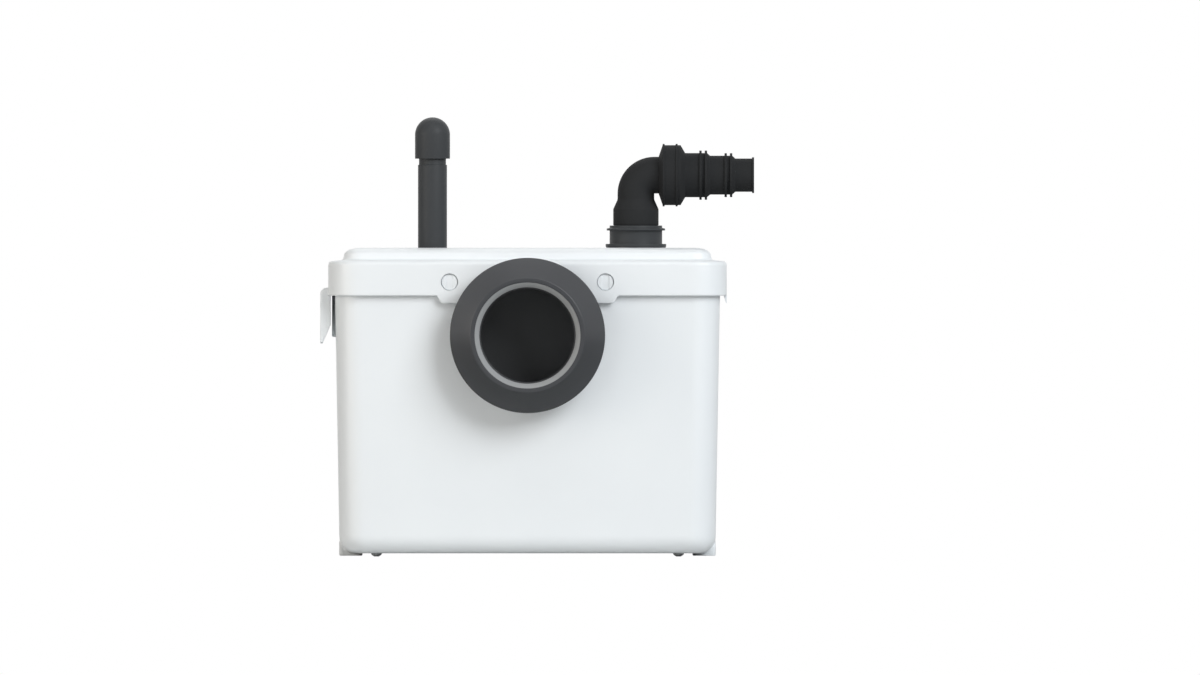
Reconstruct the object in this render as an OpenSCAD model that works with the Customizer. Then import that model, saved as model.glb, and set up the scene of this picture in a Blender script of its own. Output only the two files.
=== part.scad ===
// Macerator toilet pump: a floor-standing tank that takes a toilet's outlet through a rubber
// collar at its front, grinds the waste in a basket and pumps it out of a swivelling elbow.
// Origin: on the floor, under the middle of the tank. +Z up, toilet side -Y, discharge side +X.

/* [Tank] */
// Outside width of the tank at its top edge
tank_w = 386; // [380:1:440]
// Outside depth of the tank at its top edge
tank_d = 178; // [174:1:220]
// Height of the tank from its underside to its top edge
tank_h = 286.8; // [278:0.1:330]
// How much each side of the tank draws in from its top edge to its underside
tank_taper = 4.8; // [2:0.1:7]
// Wall of the tank
tank_wall = 3.5; // [2.5:0.1:4.5]
// Radius of the tank's upright corners
tank_corner_r = 27; // [22:1:34]
// Radius of the edge round the tank's underside
tank_foot_r = 17; // [10:1:20]
// Height of the feet
foot_h = 3.2; // [2.5:0.1:6]
// Radius of a foot
foot_r = 5.5; // [4:0.1:9]
// Distance of the feet's axes from the tank's sides
foot_side = 42; // [33:1:73]
// Distance of the feet's axes from the tank's front and back
foot_front = 37; // [33:1:54]
// Width of a floor lug
lug_w = 23.3; // [18:0.1:30]
// Height of a floor lug
lug_h = 15.2; // [8:0.1:20]
// Gap between the floor and a floor lug
lug_gap = 0.8; // [0.4:0.1:2]
// How far the floor lugs reach behind the tank's top edge
lug_reach = 28; // [22:1:40]
// Radius of the hole for a floor screw
lug_hole_r = 3.2; // [2.2:0.1:4.5]
// Width of the guide rib on the left wall
rib_w = 40; // [20:1:80]
// How far the guide rib stands proud of the tank's top edge
rib_proud = 2.5; // [1.6:0.1:3]
// Length of the guide rib below the lid's skirt
rib_drop = 41.3; // [20:0.1:60]

/* [Lid] */
// Gap between the tank and the lid's skirt
skirt_gap = 3.3; // [2.8:0.1:6]
// Wall of the lid
lid_wall = 3; // [2:0.1:4]
// Height of the lid's rim, from its lower edge to its upper edge
rim_h = 35.7; // [32:0.1:45]
// Radius of the rim's upper edge
rim_edge_r = 5; // [2:0.5:6]
// Height of the raised middle of the lid above the rim
plateau_h = 12.2; // [8:0.1:20]
// Width of the ledge that the rim forms round the raised middle
rim_ledge = 14.3; // [10:0.1:20]
// Width of the rounded shoulder round the raised middle's top
plateau_round_w = 16; // [6:0.5:17]
// Height of the rounded shoulder round the raised middle's top
plateau_round_h = 7.5; // [4:0.5:10]
// Slope of the raised middle's sides, as the distance that they draw in
plateau_draw = 1.6; // [0.5:0.1:3]
// Thickness of the lid's gasket
gasket_t = 3.5; // [2:0.1:5]
// Half width of the tab under the rim at the front
tab_half_w = 90; // [86:1:110]
// How far the tab hangs below the rim
tab_drop = 7.5; // [4:0.1:12]
// How far the tab's ends slant in
tab_slant = 4.5; // [2:0.5:10]
// Length of the side grip below the rim
grip_drop = 47.8; // [35:0.1:60]
// How far the side grip stands out from the rim
grip_proud = 8; // [6:0.1:12]
// Height of the side grip's slanted finger lead
grip_lead = 19; // [12:0.5:24]
// Thickness of the side grip at its tip
grip_tip = 2.6; // [2:0.1:4]
// Width of the side grip and of the lip on the other side
grip_w = 116; // [60:1:120]
// Drop of the lip on the other side
lip_drop = 7.3; // [4:0.1:12]

/* [Lid locks] */
// Distance of the quarter-turn locks from the middle
lock_x = 78; // [74:0.5:82]
// Height of a lock's axis above the rim's lower edge
lock_up = 13.7; // [12:0.1:15]
// Radius of a lock's recess in the rim
lock_recess_r = 8.6; // [8:0.1:9.5]
// Depth of a lock's recess in the rim
lock_recess = 3; // [2:0.1:4]
// Radius of a lock's shank
lock_shank_r = 4; // [3:0.1:4.4]
// Length of a lock's tongue
lock_tongue = 20; // [18:0.5:22]
// Width of the screwdriver slot
lock_slot_w = 7; // [4:0.1:8]

/* [Inlet] */
// Distance from the tank's top edge down to the inlet's axis
inlet_drop = 69; // [67:0.5:85]
// Radius of the inlet's bore
inlet_r = 48.2; // [45:0.1:49]
// Wall of the inlet collar's sleeve
inlet_wall = 5.2; // [4.5:0.1:5.5]
// Width of the flange's cone outside the flat mouth
cone_w = 20.2; // [14:0.1:26]
// Width of the collar's flat mouth outside its sleeve
mouth_land = 4.1; // [2.6:0.1:8.6]
// How far the mouth stands in front of the tank
mouth_reach = 54; // [48:0.5:80]
// Depth of the flange's cone
cone_depth = 22; // [14:0.5:28]
// Depth of the lip seal in the mouth
lip_depth = 10; // [7:0.5:16]
// Gap between the collar's inner lip and the inlet hood
hood_gap = 0.5; // [0.2:0.1:7]
// Depth of the inlet hood
hood_depth = 60; // [45:1:66]
// Wall of the inlet hood
hood_wall = 2.5; // [2:0.1:3]

/* [Pump and motor] */
// Height of the pump's legs
pump_leg_h = 7.3; // [5:0.1:12]
// Radius of the pump casing
casing_r = 50; // [46:0.5:54]
// Height of the pump casing
casing_h = 26; // [26:0.5:34]
// Wall of the pump casing
casing_wall = 3; // [2.5:0.1:4]
// Radius of the suction eye
eye_r = 17; // [14:0.5:20]
// Radius of the impeller
impeller_r = 40; // [30:0.5:42]
// Radius of the grinder basket
basket_r = 54; // [52:0.5:57]
// Height of the grinder basket
basket_h = 96; // [86:1:104]
// Wall of the grinder basket
basket_wall = 2.5; // [2:0.1:3]
// Radius of the macerator blade
blade_r = 47; // [36:0.5:48]
// Thickness of the motor deck
deck_t = 4; // [3:0.1:6]
// Radius of the motor's can
motor_r = 44; // [38:0.5:49]
// Wall of the motor's can
can_wall = 2.5; // [2:0.1:4]
// Height of the motor's end cap
cap_h = 14; // [12:0.5:18]
// Gap between the motor and the lid's rim
motor_headroom = 20; // [17:0.5:30]
// Radius of the motor's shaft
shaft_r = 6; // [5:0.1:7]
// Radius of a motor bearing
bearing_r = 13; // [12:0.1:15]
// Width of a motor bearing
bearing_w = 9; // [7:0.1:11]
// Length of the stator
stator_h = 54; // [42:1:58]
// Inside radius of the stator
stator_bore_r = 24; // [20:0.5:27]

/* [Discharge] */
// Distance of the outlet's axis from the middle, sideways
outlet_x = 108.4; // [104:0.1:125]
// Distance of the outlet's axis behind the middle
outlet_y = 32; // [29:0.5:35]
// Outside radius of the discharge pipe
pipe_r = 15; // [13:0.1:15.4]
// Wall of the discharge pipe
pipe_wall = 2.5; // [2:0.1:3]
// Radius of the bend at the foot of the riser
pipe_bend_r = 24; // [20:0.5:30]
// Radius of the outlet collar
collar_r = 26.3; // [25.5:0.1:28]
// Height of the outlet collar above its flange
collar_h = 18.4; // [16:0.1:26]
// Radius of the elbow's spigot in the outlet collar
spigot_r = 22; // [21:0.1:22.6]
// Outside radius of the elbow's tube
elbow_r = 18.35; // [17.6:0.05:18.4]
// Radius of the elbow's bore
elbow_bore_r = 15.3; // [14:0.1:15.8]
// Radius of the elbow's bend
elbow_bend_r = 18.5; // [18.5:0.1:26]
// Height of the elbow's socket above the outlet collar
elbow_socket_h = 16.1; // [12:0.1:24]
// Radius of the valve's chamber in the stepped adapter
chamber_r = 30; // [29.5:0.1:32]
// Length of the valve's chamber
chamber_len = 18; // [16:0.1:24]
// Outside radius of the adapter's three steps
step_r = [22.1, 19.45, 16.65]; // [15:0.05:24]
// Length of the adapter's three steps
step_len = [24.9, 25.2, 18.8]; // [15:0.1:40]
// Wall of the adapter's steps
step_wall = 2.65; // [2:0.05:3]
// Radius of the pin that the valve's flap hangs on
flap_pin_r = 1.3; // [1:0.1:1.6]
// Radius of the valve's flap
flap_r = 16.5; // [15.5:0.1:16.8]

/* [Vent] */
// Distance of the vent's axis left of the middle
vent_x = 95; // [80:0.5:110]
// Distance of the vent's axis behind the middle
vent_y = 20; // [0:1:28]
// Radius of the vent pipe
vent_r = 14.5; // [12:0.1:16]
// Height of the vent pipe above the lid
vent_h = 82.8; // [60:0.1:110]
// Radius of the neck under the vent's cap
vent_neck_r = 13.5; // [10:0.1:14]
// Height of the neck that shows under the vent's cap
vent_neck_h = 6.3; // [4:0.1:10]
// Radius of the vent's cap
vent_cap_r = 17.5; // [16.6:0.1:21]
// Height of the straight part of the vent's cap
vent_cap_h = 23.9; // [18:0.1:34]

/* [Level switch and wiring] */
// Distance of the level tube's axis from the tank's right side
level_side = 43; // [41:0.5:50]
// Distance of the level tube's axis from the tank's front
level_front = 49; // [41:0.5:59]
// Radius of the level tube
level_r = 15; // [12:0.5:16]
// Distance from the tank's top edge down to the switch housing's underside
switch_drop = 94; // [86:1:120]
// Radius of the switch housing
switch_r = 30; // [27:0.5:31]
// Travel of the switch plunger
plunger_travel = 1.5; // [1:0.1:2]
// Radius of the motor's capacitor
capacitor_r = 17; // [14:0.5:18]
// Height of the motor's capacitor
capacitor_h = 70; // [50:1:90]
// Radius of the cable gland's bore
gland_bore_r = 4.2; // [3:0.1:5]
// Distance of the cable gland's axis from the tank's left side
gland_side = 63; // [53:1:83]
// Distance from the tank's top edge down to the cable gland
gland_drop = 60; // [50:1:80]

/* [Hidden] */
$fn = 48;
hull_fn = 32;
slice = 0.01;
cut = 1;
reach = tank_w + tank_h;
run_fit = 0.05;
slip_fit = 0.1;
quarter_turns = [0, 90, 180, 270];
diagonal_turns = [45, 135, 225, 315];

WHITE = "#e9edef";
BLACK = "#303236";
GREY_RUBBER = "#8d9094";
STEEL = "#b9bdc1";
COPPER = "#b5713c";
IRON = "#6d7176";
BEIGE = "#d8cfba";

// Levels, from the floor up
tank_top = foot_h + tank_h;
floor_z = foot_h + tank_wall;
inlet_z = tank_top - inlet_drop;
rim_under = tank_top + gasket_t;
rim_top = rim_under + lid_wall;
rim_low = rim_top - rim_h;
lid_top = rim_top + plateau_h;
plateau_under = lid_top - lid_wall;
lock_z = rim_low + lock_up;
casing_z = floor_z + pump_leg_h;
cover_z = casing_z + casing_h;
cover_t = 4;
basket_z = cover_z + cover_t;
deck_gap = 2;
deck_z = basket_z + basket_h;
motor_z = deck_z + deck_t;
cap_z = rim_under - motor_headroom - cap_h;

// Outlines
lid_w = tank_w + 2 * (skirt_gap + lid_wall);
lid_d = tank_d + 2 * (skirt_gap + lid_wall);
lid_corner_r = tank_corner_r + skirt_gap + lid_wall;
plateau_w = lid_w - 2 * rim_ledge;
plateau_d = lid_d - 2 * rim_ledge;
plateau_corner_r = lid_corner_r - rim_ledge;
skirt_in_x = lid_w / 2 - lid_wall;
foot_x = tank_w / 2 - foot_side;
foot_y = tank_d / 2 - foot_front;
lug_proud = 0.1;
lug_x = tank_w / 2 - tank_taper + lug_proud;
lug_back = tank_d / 2 + lug_reach;
lug_hole_edge = 10;
rib_lap = 4;
tab_root = 2;
grip_up = 8;
grip_sink = 0.4;
grip_bend = 0.8;
side_lip_tip = 0.8;
side_lip_sink = 0.2;

// Lid locks
lock_play = 0.5;
tongue_half = lock_shank_r - lock_play;
tongue_t = 3.5;
tongue_gap = 1.2;
head_gap = 0.75;
head_sink = 1.2;
slot_depth = 0.4 * (lock_recess - head_sink);
catch_in = 6;
catch_h = 6;
lock_boss = 2.4;

// Distances in front of the middle at the inlet
boss_proud = 2.5;
boss_sink = 3.2;
boss_rim = 8.5;
boss_front = tank_d / 2 + boss_proud;
boss_back = tank_d / 2 - tank_wall - boss_sink;
sleeve_r = inlet_r + inlet_wall;
boss_r = sleeve_r + boss_rim;
inlet_stop = 1.5;
collar_grip = 3.6;
collar_grip_r = sleeve_r + collar_grip;
collar_grip_t = 4;
shoulder_proud = 6.6;
shoulder_t = 4;
shoulder_r = sleeve_r + shoulder_proud;
neck_proud = 1;
mouth_y = tank_d / 2 + mouth_reach;
mouth_r = sleeve_r + mouth_land;
flange_r = mouth_r + cone_w;
flange_edge = 2.5;
flange_bevel = 2.1;
lip_inset = 0.3;
lip_straight = 0.35;
notch_gap = 2.5;
notch_r = shoulder_r + notch_gap;
hood_half_w = collar_grip_r + hood_gap + hood_wall;
hood_clear = 2;

// Motor and pump axis
motor_clear = 4;
motor_x = -(hood_half_w + motor_clear + motor_r);
motor_gap = 0.1;
ear_r = 7;
ear_reach = motor_r + ear_r;
ear_root = 4;
ear_turns = [50, 155, 205, 310];
basket_far = [0, -18];
cap_skirt = 3;
cap_draw = 3;
cap_screw_ring = motor_r - can_wall - 6;
cap_screw_len = 8;
bearing_seat = 4;
shaft_clear = 2;
winding_h = 12;
winding_in = 3;
stator_slot_r = 3;
rotor_gap = 0.4;
lower_bearing_z = motor_z + can_wall;
upper_bearing_z = cap_z - bearing_w;
stator_z = (motor_z + cap_z - stator_h) / 2;
shaft_low = casing_z + 1;
leg_r = 5;
leg_in = 8;
casing_screw_r = 1;
casing_screw_len = 10;
casing_screw_ring = casing_r - casing_wall / 2;
impeller_gap = 2.5;
impeller_z = casing_z + casing_wall + impeller_gap;
impeller_h = 17;
impeller_plate = 3;
nut_h = impeller_z - shaft_low - 0.5;
nut_wall = 4;
blade_up = 12;
blade_z = basket_z + basket_wall + blade_up;
blade_hub_h = 14;
blade_hub_r = 14;
seal_r = 14;
seal_h = 9;
seal_wall = 4;
post_side = 15;
post_front = 54;
post_back = 17;
post_in = 8;
deck_posts = [
    [post_side - tank_w / 2, tank_d / 2 - post_front],
    [post_side - tank_w / 2, post_front - tank_d / 2],
    [motor_x + motor_r - post_in, tank_d / 2 - post_back]
];
post_r = 6;
pilot_r = 1.6;
pilot_depth = 16;
post_screw = 12;
screw_clear = 0.4;
deck_fit = 0.3;
deck_edge_x = -(hood_half_w + deck_gap);

// Discharge
pipe_bore_r = pipe_r - pipe_wall;
stub_r = pipe_bore_r - slip_fit;
stub_wall = 2.4;
stub_len = 20;
stub_plug = 16;
stub_root = 4;
stub_x = motor_x + casing_r + stub_len;
pipe_z = cover_z - stub_r - slip_fit;
collar_flange_r = collar_r + 4;
collar_flange_t = 3;
collar_gasket_t = 0.9;
collar_gasket_in = 0.5;
collar_z = lid_top + collar_gasket_t;
collar_top = collar_z + collar_flange_t + collar_h;
collar_lip = 2.9;
collar_lip_r = collar_r + collar_lip;
collar_lip_down = 5;
riser_gap = 1;
tail_r = 22;
tail_drop = 25;
tail_low = collar_z - tail_drop;
seal_t = 1.2;
socket_r = pipe_r + seal_t + slip_fit;
riser_in = 16;
riser_top = tail_low + riser_in;
riser_seal_down = 9;
riser_seal_h = 5;
nut_t = 8;
collar_nut_w = 7;
swivel_gap = 0.2;
elbow_z = collar_top + swivel_gap;
elbow_socket_r = spigot_r + 0.7;
elbow_neck_h = 9.7;
elbow_rise = 5.85;
elbow_run_z = elbow_z + elbow_socket_h + elbow_neck_h + elbow_rise + elbow_bend_r;
elbow_end = elbow_bend_r + 10;
spigot_low = collar_z + 2;
spigot_gap = 1;
elbow_seal_up = 6;
elbow_seal_h = 3;
elbow_seal_w = 2;

// Stepped adapter, measured along the discharge from the outlet's axis
adapter_start = elbow_bend_r + 4.2;
adapter_cone = 4;
chamber_start = adapter_start + adapter_cone;
chamber_end = chamber_start + chamber_len;
chamber_cone = 4.6;
lip_proud = 1.3;
lip_w = 2;
back_lip_in = 5;
clip_rib_proud = 2.55;
clip_rib_w = 2.4;
clip_rib_step = 5.4;
step_cone = 3;
step_start = [
    chamber_end + chamber_cone,
    chamber_end + chamber_cone + step_len[0],
    chamber_end + chamber_cone + step_len[0] + step_len[1]
];
adapter_end = step_start[2] + step_len[2];
chamber_wall = 3.4;
seat_t = 3;
seat_x = elbow_end;
seat_bore_r = flap_r - 2.5;
flap_t = 2.4;
flap_gap = 0.2;
flap_barrel_r = flap_pin_r + 1.3;
flap_pin_x = seat_x + seat_t + flap_gap + flap_barrel_r;
flap_pin_up = flap_r + 3.6;
flap_barrel_w = 13;
flap_lug_w = 3;
flap_lug_gap = 0.4;
flap_lug_half = 3;
flap_lug_sink = 1;
flap_lug_past = 3;

// Vent
vent_top = lid_top + vent_h;
vent_cap_z = vent_top + vent_neck_h;
vent_cap_wall = 2.2;
vent_web_z = vent_cap_z + 14;
vent_web_t = 3;
vent_low = plateau_under - 14;
vent_bore_r = vent_neck_r - 1.8;
vent_seal_t = 2;
vent_seal_w = 6;
vent_nut_t = 7;
vent_nut_w = 7;
filter_down = 24;
filter_len = 40;

// Level switch
level_x = tank_w / 2 - level_side;
level_y = tank_d / 2 - level_front;
switch_z = tank_top - switch_drop;
level_wall = 2.5;
level_leg_h = 6;
level_notch = 10;
switch_wall = 3;
housing_h = 18;
diaphragm_t = 2;
cover_low = switch_z + housing_h + diaphragm_t;
switch_cover_h = 30;
plunger_r = 4;
plunger_gap = 0.3;
plunger_h = 12;
microswitch_z = cover_low + plunger_gap + plunger_h + plunger_travel + 0.5;
switch_screw_r = 2;
switch_screw_in = 5;
switch_screw_ring = switch_r - switch_screw_in;
switch_bore_r = switch_screw_ring - switch_screw_r - 2;
switch_screw_up = 4;

// Wiring
wiring_x = tank_w / 2 - tank_corner_r - 1;
wiring_y = tank_d / 2 - tank_corner_r - 2;
box_w = 24;
box_d = 22;
box_h = 28;
box_in = 2;
box_lid_h = 4;
box_lid_lip = 1;
clip_wall = 2.2;
clip_h = 12;
lead_r = 3.2;
lead_sink = 3;
lead_bend_r = 8 * lead_r;
gland_x = tank_w / 2 - gland_side;
gland_z = tank_top - gland_drop;
gland_r = 10;
gland_pad_r = 17;
gland_pad_out = tank_d / 2 + 1.5;
gland_pad_in = tank_d / 2 - tank_wall - 3;
gland_nut_t = 5;
gland_nut_wall = 5;
gland_hex = 4;
gland_hex_h = 6;
gland_dome_h = 9;
gland_dome_draw = 3;
gland_past = 3;
gland_tail_wall = 1.6;

// Points on an arc; rise is the height of an oval arc as a share of its width
function arc(cx, cy, r, from, to, steps = 8, rise = 1) = [
    for (i = [0 : steps])
        let (a = from + (to - from) * i / steps)
            [cx + r * cos(a), cy + r * rise * sin(a)]
];

module corners(w, d, r) {
    for (sx = [-1, 1], sy = [-1, 1])
        translate([sx * (w / 2 - r), sy * (d / 2 - r), 0])
            children();
}

module on_motor_axis(z = 0) {
    translate([motor_x, 0, z])
        children();
}

module around(turns, ring) {
    for (a = turns)
        rotate(a)
            translate([ring, 0, 0])
                children();
}

// Turns a shape about Z into one about the inlet's axis, with its +Z towards the toilet
module on_inlet_axis() {
    translate([0, 0, inlet_z])
        rotate([90, 0, 0])
            children();
}

// Turns a shape about Z into one about the discharge's level axis, with its +Z towards +X
module on_discharge_axis() {
    translate([outlet_x, outlet_y, elbow_run_z])
        rotate([0, 90, 0])
            children();
}

module ring(r_out, r_in, h) {
    difference() {
        cylinder(r = r_out, h = h);
        translate([0, 0, -cut])
            cylinder(r = r_in, h = h + 2 * cut);
    }
}

module screw(shank_r, length) {
    translate([0, 0, -length])
        cylinder(r = shank_r, h = length);
    difference() {
        cylinder(r = shank_r * 2, h = shank_r * 1.2);
        translate([-shank_r * 2.5, -shank_r * 0.25, shank_r * 0.7])
            cube([shank_r * 5, shank_r * 0.5, shank_r]);
    }
}

// The tank's rounded and tapered block, drawn in by inset all round
module tank_block(inset, lift) {
    corner = tank_corner_r - inset;
    edge = max(tank_foot_r - inset, 2);
    low_w = tank_w - 2 * tank_taper - 2 * inset;
    low_d = tank_d - 2 * tank_taper - 2 * inset;
    profile = concat([[0, 0]], arc(corner - edge, edge, edge, -90, 0), [[0, edge]]);
    hull() {
        translate([0, 0, foot_h + inset])
            corners(low_w, low_d, corner)
                rotate_extrude($fn = hull_fn)
                    polygon(profile);
        translate([0, 0, tank_top + lift - slice])
            corners(tank_w - 2 * inset, tank_d - 2 * inset, corner)
                cylinder(r = corner, h = slice, $fn = hull_fn);
    }
}

module floor_lug(side) {
    translate([side > 0 ? lug_x - lug_w : -lug_x, foot_y, lug_gap])
        cube([lug_w, lug_back - foot_y, lug_h]);
}

// A rib on the tank's left wall that guides the lid's skirt
module guide_rib() {
    translate([-tank_w / 2 - rib_proud, -rib_w / 2, rim_low - rib_drop])
        cube([rib_proud + tank_taper, rib_w, rib_drop + rib_lap]);
}

module lug_holes() {
    for (side = [-1, 1])
        translate([side * (lug_x - lug_w / 2), lug_back - lug_hole_edge, -cut])
            cylinder(r = lug_hole_r, h = lug_h + lug_gap + 2 * cut);
}

module lock_slots() {
    slot_r = lock_shank_r + 2 * lock_play;
    for (side = [-1, 1])
        translate([side * lock_x, -tank_d / 2 - cut, lock_z])
            rotate([-90, 0, 0]) {
                cylinder(r = slot_r, h = 2 * tank_wall);
                translate([-slot_r, -reach, 0])
                    cube([2 * slot_r, reach, 2 * tank_wall]);
            }
}

// Each catch hangs over the lock's tongue once the tongue is turned level
module lock_catches() {
    over = tongue_half + lock_play;
    past = lock_tongue / 2 + 2 * lock_play;
    for (side = [-1, 1])
        translate([side * lock_x - past, -tank_d / 2 + tank_wall / 2, lock_z + over])
            cube([lock_tongue / 2 - over, tank_wall / 2 + catch_in, catch_h]);
}

module tank() {
    color(WHITE) {
        difference() {
            union() {
                tank_block(0, 0);
                on_inlet_axis()
                    translate([0, 0, boss_back])
                        cylinder(r = boss_r, h = boss_front - boss_back);
                floor_lug(-1);
                floor_lug(1);
                guide_rib();
                translate([-gland_x, gland_pad_out, gland_z])
                    rotate([90, 0, 0])
                        cylinder(r = gland_pad_r, h = gland_pad_out - gland_pad_in);
            }
            difference() {
                tank_block(tank_wall, cut);
                on_inlet_axis()
                    translate([0, 0, boss_back])
                        cylinder(r = boss_r, h = reach);
                translate([-gland_x, reach, gland_z])
                    rotate([90, 0, 0])
                        cylinder(r = gland_pad_r, h = reach - gland_pad_in);
            }
            on_inlet_axis()
                cylinder(r = sleeve_r + slip_fit, h = reach);
            translate([-gland_x, reach, gland_z])
                rotate([90, 0, 0])
                    cylinder(r = gland_r + slip_fit, h = reach);
            lug_holes();
            lock_slots();
        }
        intersection() {
            tank_block(tank_wall / 2, 0);
            for (p = deck_posts)
                translate([p[0], p[1], 0])
                    difference() {
                        cylinder(r = post_r, h = deck_z);
                        translate([0, 0, deck_z - pilot_depth])
                            cylinder(r = pilot_r, h = reach);
                    }
        }
        lock_catches();
    }
}

module tank_feet() {
    foot_flat = 0.6;
    foot_bulge = 0.9;
    foot_bulge_up = 0.35;
    color(WHITE)
        for (sx = [-1, 1], sy = [-1, 1])
            translate([sx * foot_x, sy * foot_y, 0])
                rotate_extrude()
                    polygon([
                        [0, 0], [foot_r * foot_flat, 0], [foot_r * foot_bulge, foot_h * foot_bulge_up],
                        [foot_r, foot_h], [0, foot_h]
                    ]);
}

module inlet_collar() {
    back = boss_back - hood_wall;
    cone_back = mouth_y - cone_depth;
    neck_r = sleeve_r + neck_proud;
    lip_r = sleeve_r - lip_inset;
    lip_z = mouth_y - lip_depth;
    color(BLACK)
        on_inlet_axis()
            rotate_extrude()
                polygon([
                    [inlet_r - inlet_stop, back - collar_grip_t], [collar_grip_r, back - collar_grip_t],
                    [collar_grip_r, back], [sleeve_r, back],
                    [sleeve_r, boss_front], [shoulder_r, boss_front],
                    [shoulder_r, boss_front + shoulder_t], [neck_r, boss_front + shoulder_t],
                    [neck_r, lip_z], [flange_r - flange_bevel, cone_back - flange_edge - flange_bevel],
                    [flange_r, cone_back - flange_edge], [flange_r, cone_back],
                    [mouth_r, mouth_y], [lip_r, mouth_y], [lip_r, lip_z], [inlet_r, lip_z],
                    [inlet_r, boss_front], [inlet_r - inlet_stop, boss_front]
                ]);
}

module inlet_lip_seal() {
    lip_r = sleeve_r - lip_inset;
    color(GREY_RUBBER)
        on_inlet_axis()
            translate([0, 0, mouth_y - lip_depth])
                rotate_extrude()
                    polygon([
                        [inlet_r, 0], [lip_r, 0], [lip_r, lip_depth], [inlet_r, lip_depth * lip_straight]
                    ]);
}

// A hood behind the inlet, held by the collar's inner lip, that turns the flow down into the basket
module inlet_hood() {
    front = -boss_back;
    low = deck_z + hood_clear;
    high = inlet_z + collar_grip_r + hood_gap + hood_wall;
    inner = hood_half_w - hood_wall;
    color(BLACK)
        difference() {
            translate([-hood_half_w, front, low])
                cube([2 * hood_half_w, hood_depth, high - low]);
            translate([-inner, front + hood_wall, low - cut])
                cube([2 * inner, hood_depth - 2 * hood_wall, high - low + cut - hood_wall]);
            translate([0, front + hood_wall + cut, inlet_z])
                rotate([90, 0, 0])
                    cylinder(r = sleeve_r + slip_fit, h = hood_wall + 2 * cut);
        }
}

module pump_casing() {
    color(BLACK)
        difference() {
            union() {
                on_motor_axis(casing_z)
                    cylinder(r = casing_r, h = casing_h);
                on_motor_axis(floor_z)
                    around(diagonal_turns, casing_r - leg_in)
                        cylinder(r = leg_r, h = pump_leg_h + cut);
                translate([motor_x, outlet_y, pipe_z])
                    rotate([0, 90, 0])
                        cylinder(r = stub_r, h = stub_x - motor_x + stub_plug);
                translate([motor_x + casing_r - stub_root, outlet_y, pipe_z])
                    rotate([0, 90, 0])
                        cylinder(r = pipe_r, h = stub_len + stub_root);
            }
            on_motor_axis(casing_z + casing_wall)
                cylinder(r = casing_r - casing_wall, h = casing_h);
            on_motor_axis(casing_z - cut)
                cylinder(r = eye_r, h = casing_wall + 2 * cut);
            translate([motor_x, outlet_y, pipe_z])
                rotate([0, 90, 0])
                    cylinder(r = stub_r - stub_wall, h = reach);
            on_motor_axis(cover_z - casing_screw_len)
                around(quarter_turns, casing_screw_ring)
                    cylinder(r = casing_screw_r, h = reach);
        }
}

module casing_cover() {
    color(BLACK)
        on_motor_axis(cover_z)
            difference() {
                cylinder(r = casing_r, h = cover_t);
                translate([0, 0, -cut])
                    cylinder(r = shaft_r + shaft_clear, h = cover_t + 2 * cut);
                around(quarter_turns, casing_screw_ring)
                    translate([0, 0, -cut])
                        cylinder(r = casing_screw_r, h = cover_t + 2 * cut);
            }
}

module casing_screws() {
    color(STEEL)
        on_motor_axis(cover_z)
            around(quarter_turns, casing_screw_ring)
                translate([0, 0, -casing_screw_len])
                    cylinder(r = casing_screw_r, h = cover_t + casing_screw_len);
}

module basket_outline(inset, low, high) {
    hull()
        for (p = [[motor_x, 0], basket_far])
            translate([p[0], p[1], low])
                cylinder(r = basket_r - inset, h = high - low);
}

module basket_slots() {
    slot_low = 14;
    slot_step = 26;
    slot = [12, 5, 18];
    for (level = [0 : 2]) {
        z = basket_z + slot_low + level * slot_step;
        for (a = [100 : 20 : 260])
            translate([motor_x, 0, z])
                rotate(a)
                    translate([basket_r - slot[0] / 2, -slot[1] / 2, 0])
                        cube(slot);
        for (a = [-80 : 20 : 80])
            translate([basket_far[0], basket_far[1], z])
                rotate(a)
                    translate([basket_r - slot[0] / 2, -slot[1] / 2, 0])
                        cube(slot);
    }
}

module grinder_basket() {
    color(BLACK)
        difference() {
            basket_outline(0, basket_z, deck_z);
            basket_outline(basket_wall, basket_z + basket_wall, deck_z + cut);
            on_motor_axis(basket_z - cut)
                cylinder(r = shaft_r + shaft_clear, h = basket_wall + 2 * cut);
            basket_slots();
        }
}

module motor_deck() {
    color(WHITE)
        difference() {
            union() {
                intersection() {
                    tank_block(tank_wall + deck_fit, 0);
                    translate([-reach, -reach, deck_z])
                        cube([reach + deck_edge_x, 2 * reach, deck_t]);
                }
                on_motor_axis(deck_z - seal_h)
                    cylinder(r = seal_r + seal_wall, h = seal_h + deck_t / 2);
            }
            on_motor_axis(0)
                cylinder(r = shaft_r + shaft_clear, h = reach);
            on_motor_axis(deck_z - seal_h - cut)
                cylinder(r = seal_r + run_fit, h = seal_h + cut);
            for (p = deck_posts)
                translate([p[0], p[1], deck_z - cut])
                    cylinder(r = pilot_r + screw_clear, h = deck_t + 2 * cut);
            on_motor_axis(deck_z - cut)
                around(ear_turns, ear_reach)
                    cylinder(r = pilot_r, h = deck_t + 2 * cut);
        }
}

module deck_screws() {
    color(STEEL)
        for (p = deck_posts)
            translate([p[0], p[1], motor_z])
                screw(pilot_r, deck_t + post_screw);
}

module shaft_seal() {
    color(GREY_RUBBER)
        on_motor_axis(deck_z - seal_h)
            ring(seal_r, shaft_r + run_fit, seal_h);
}

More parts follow.
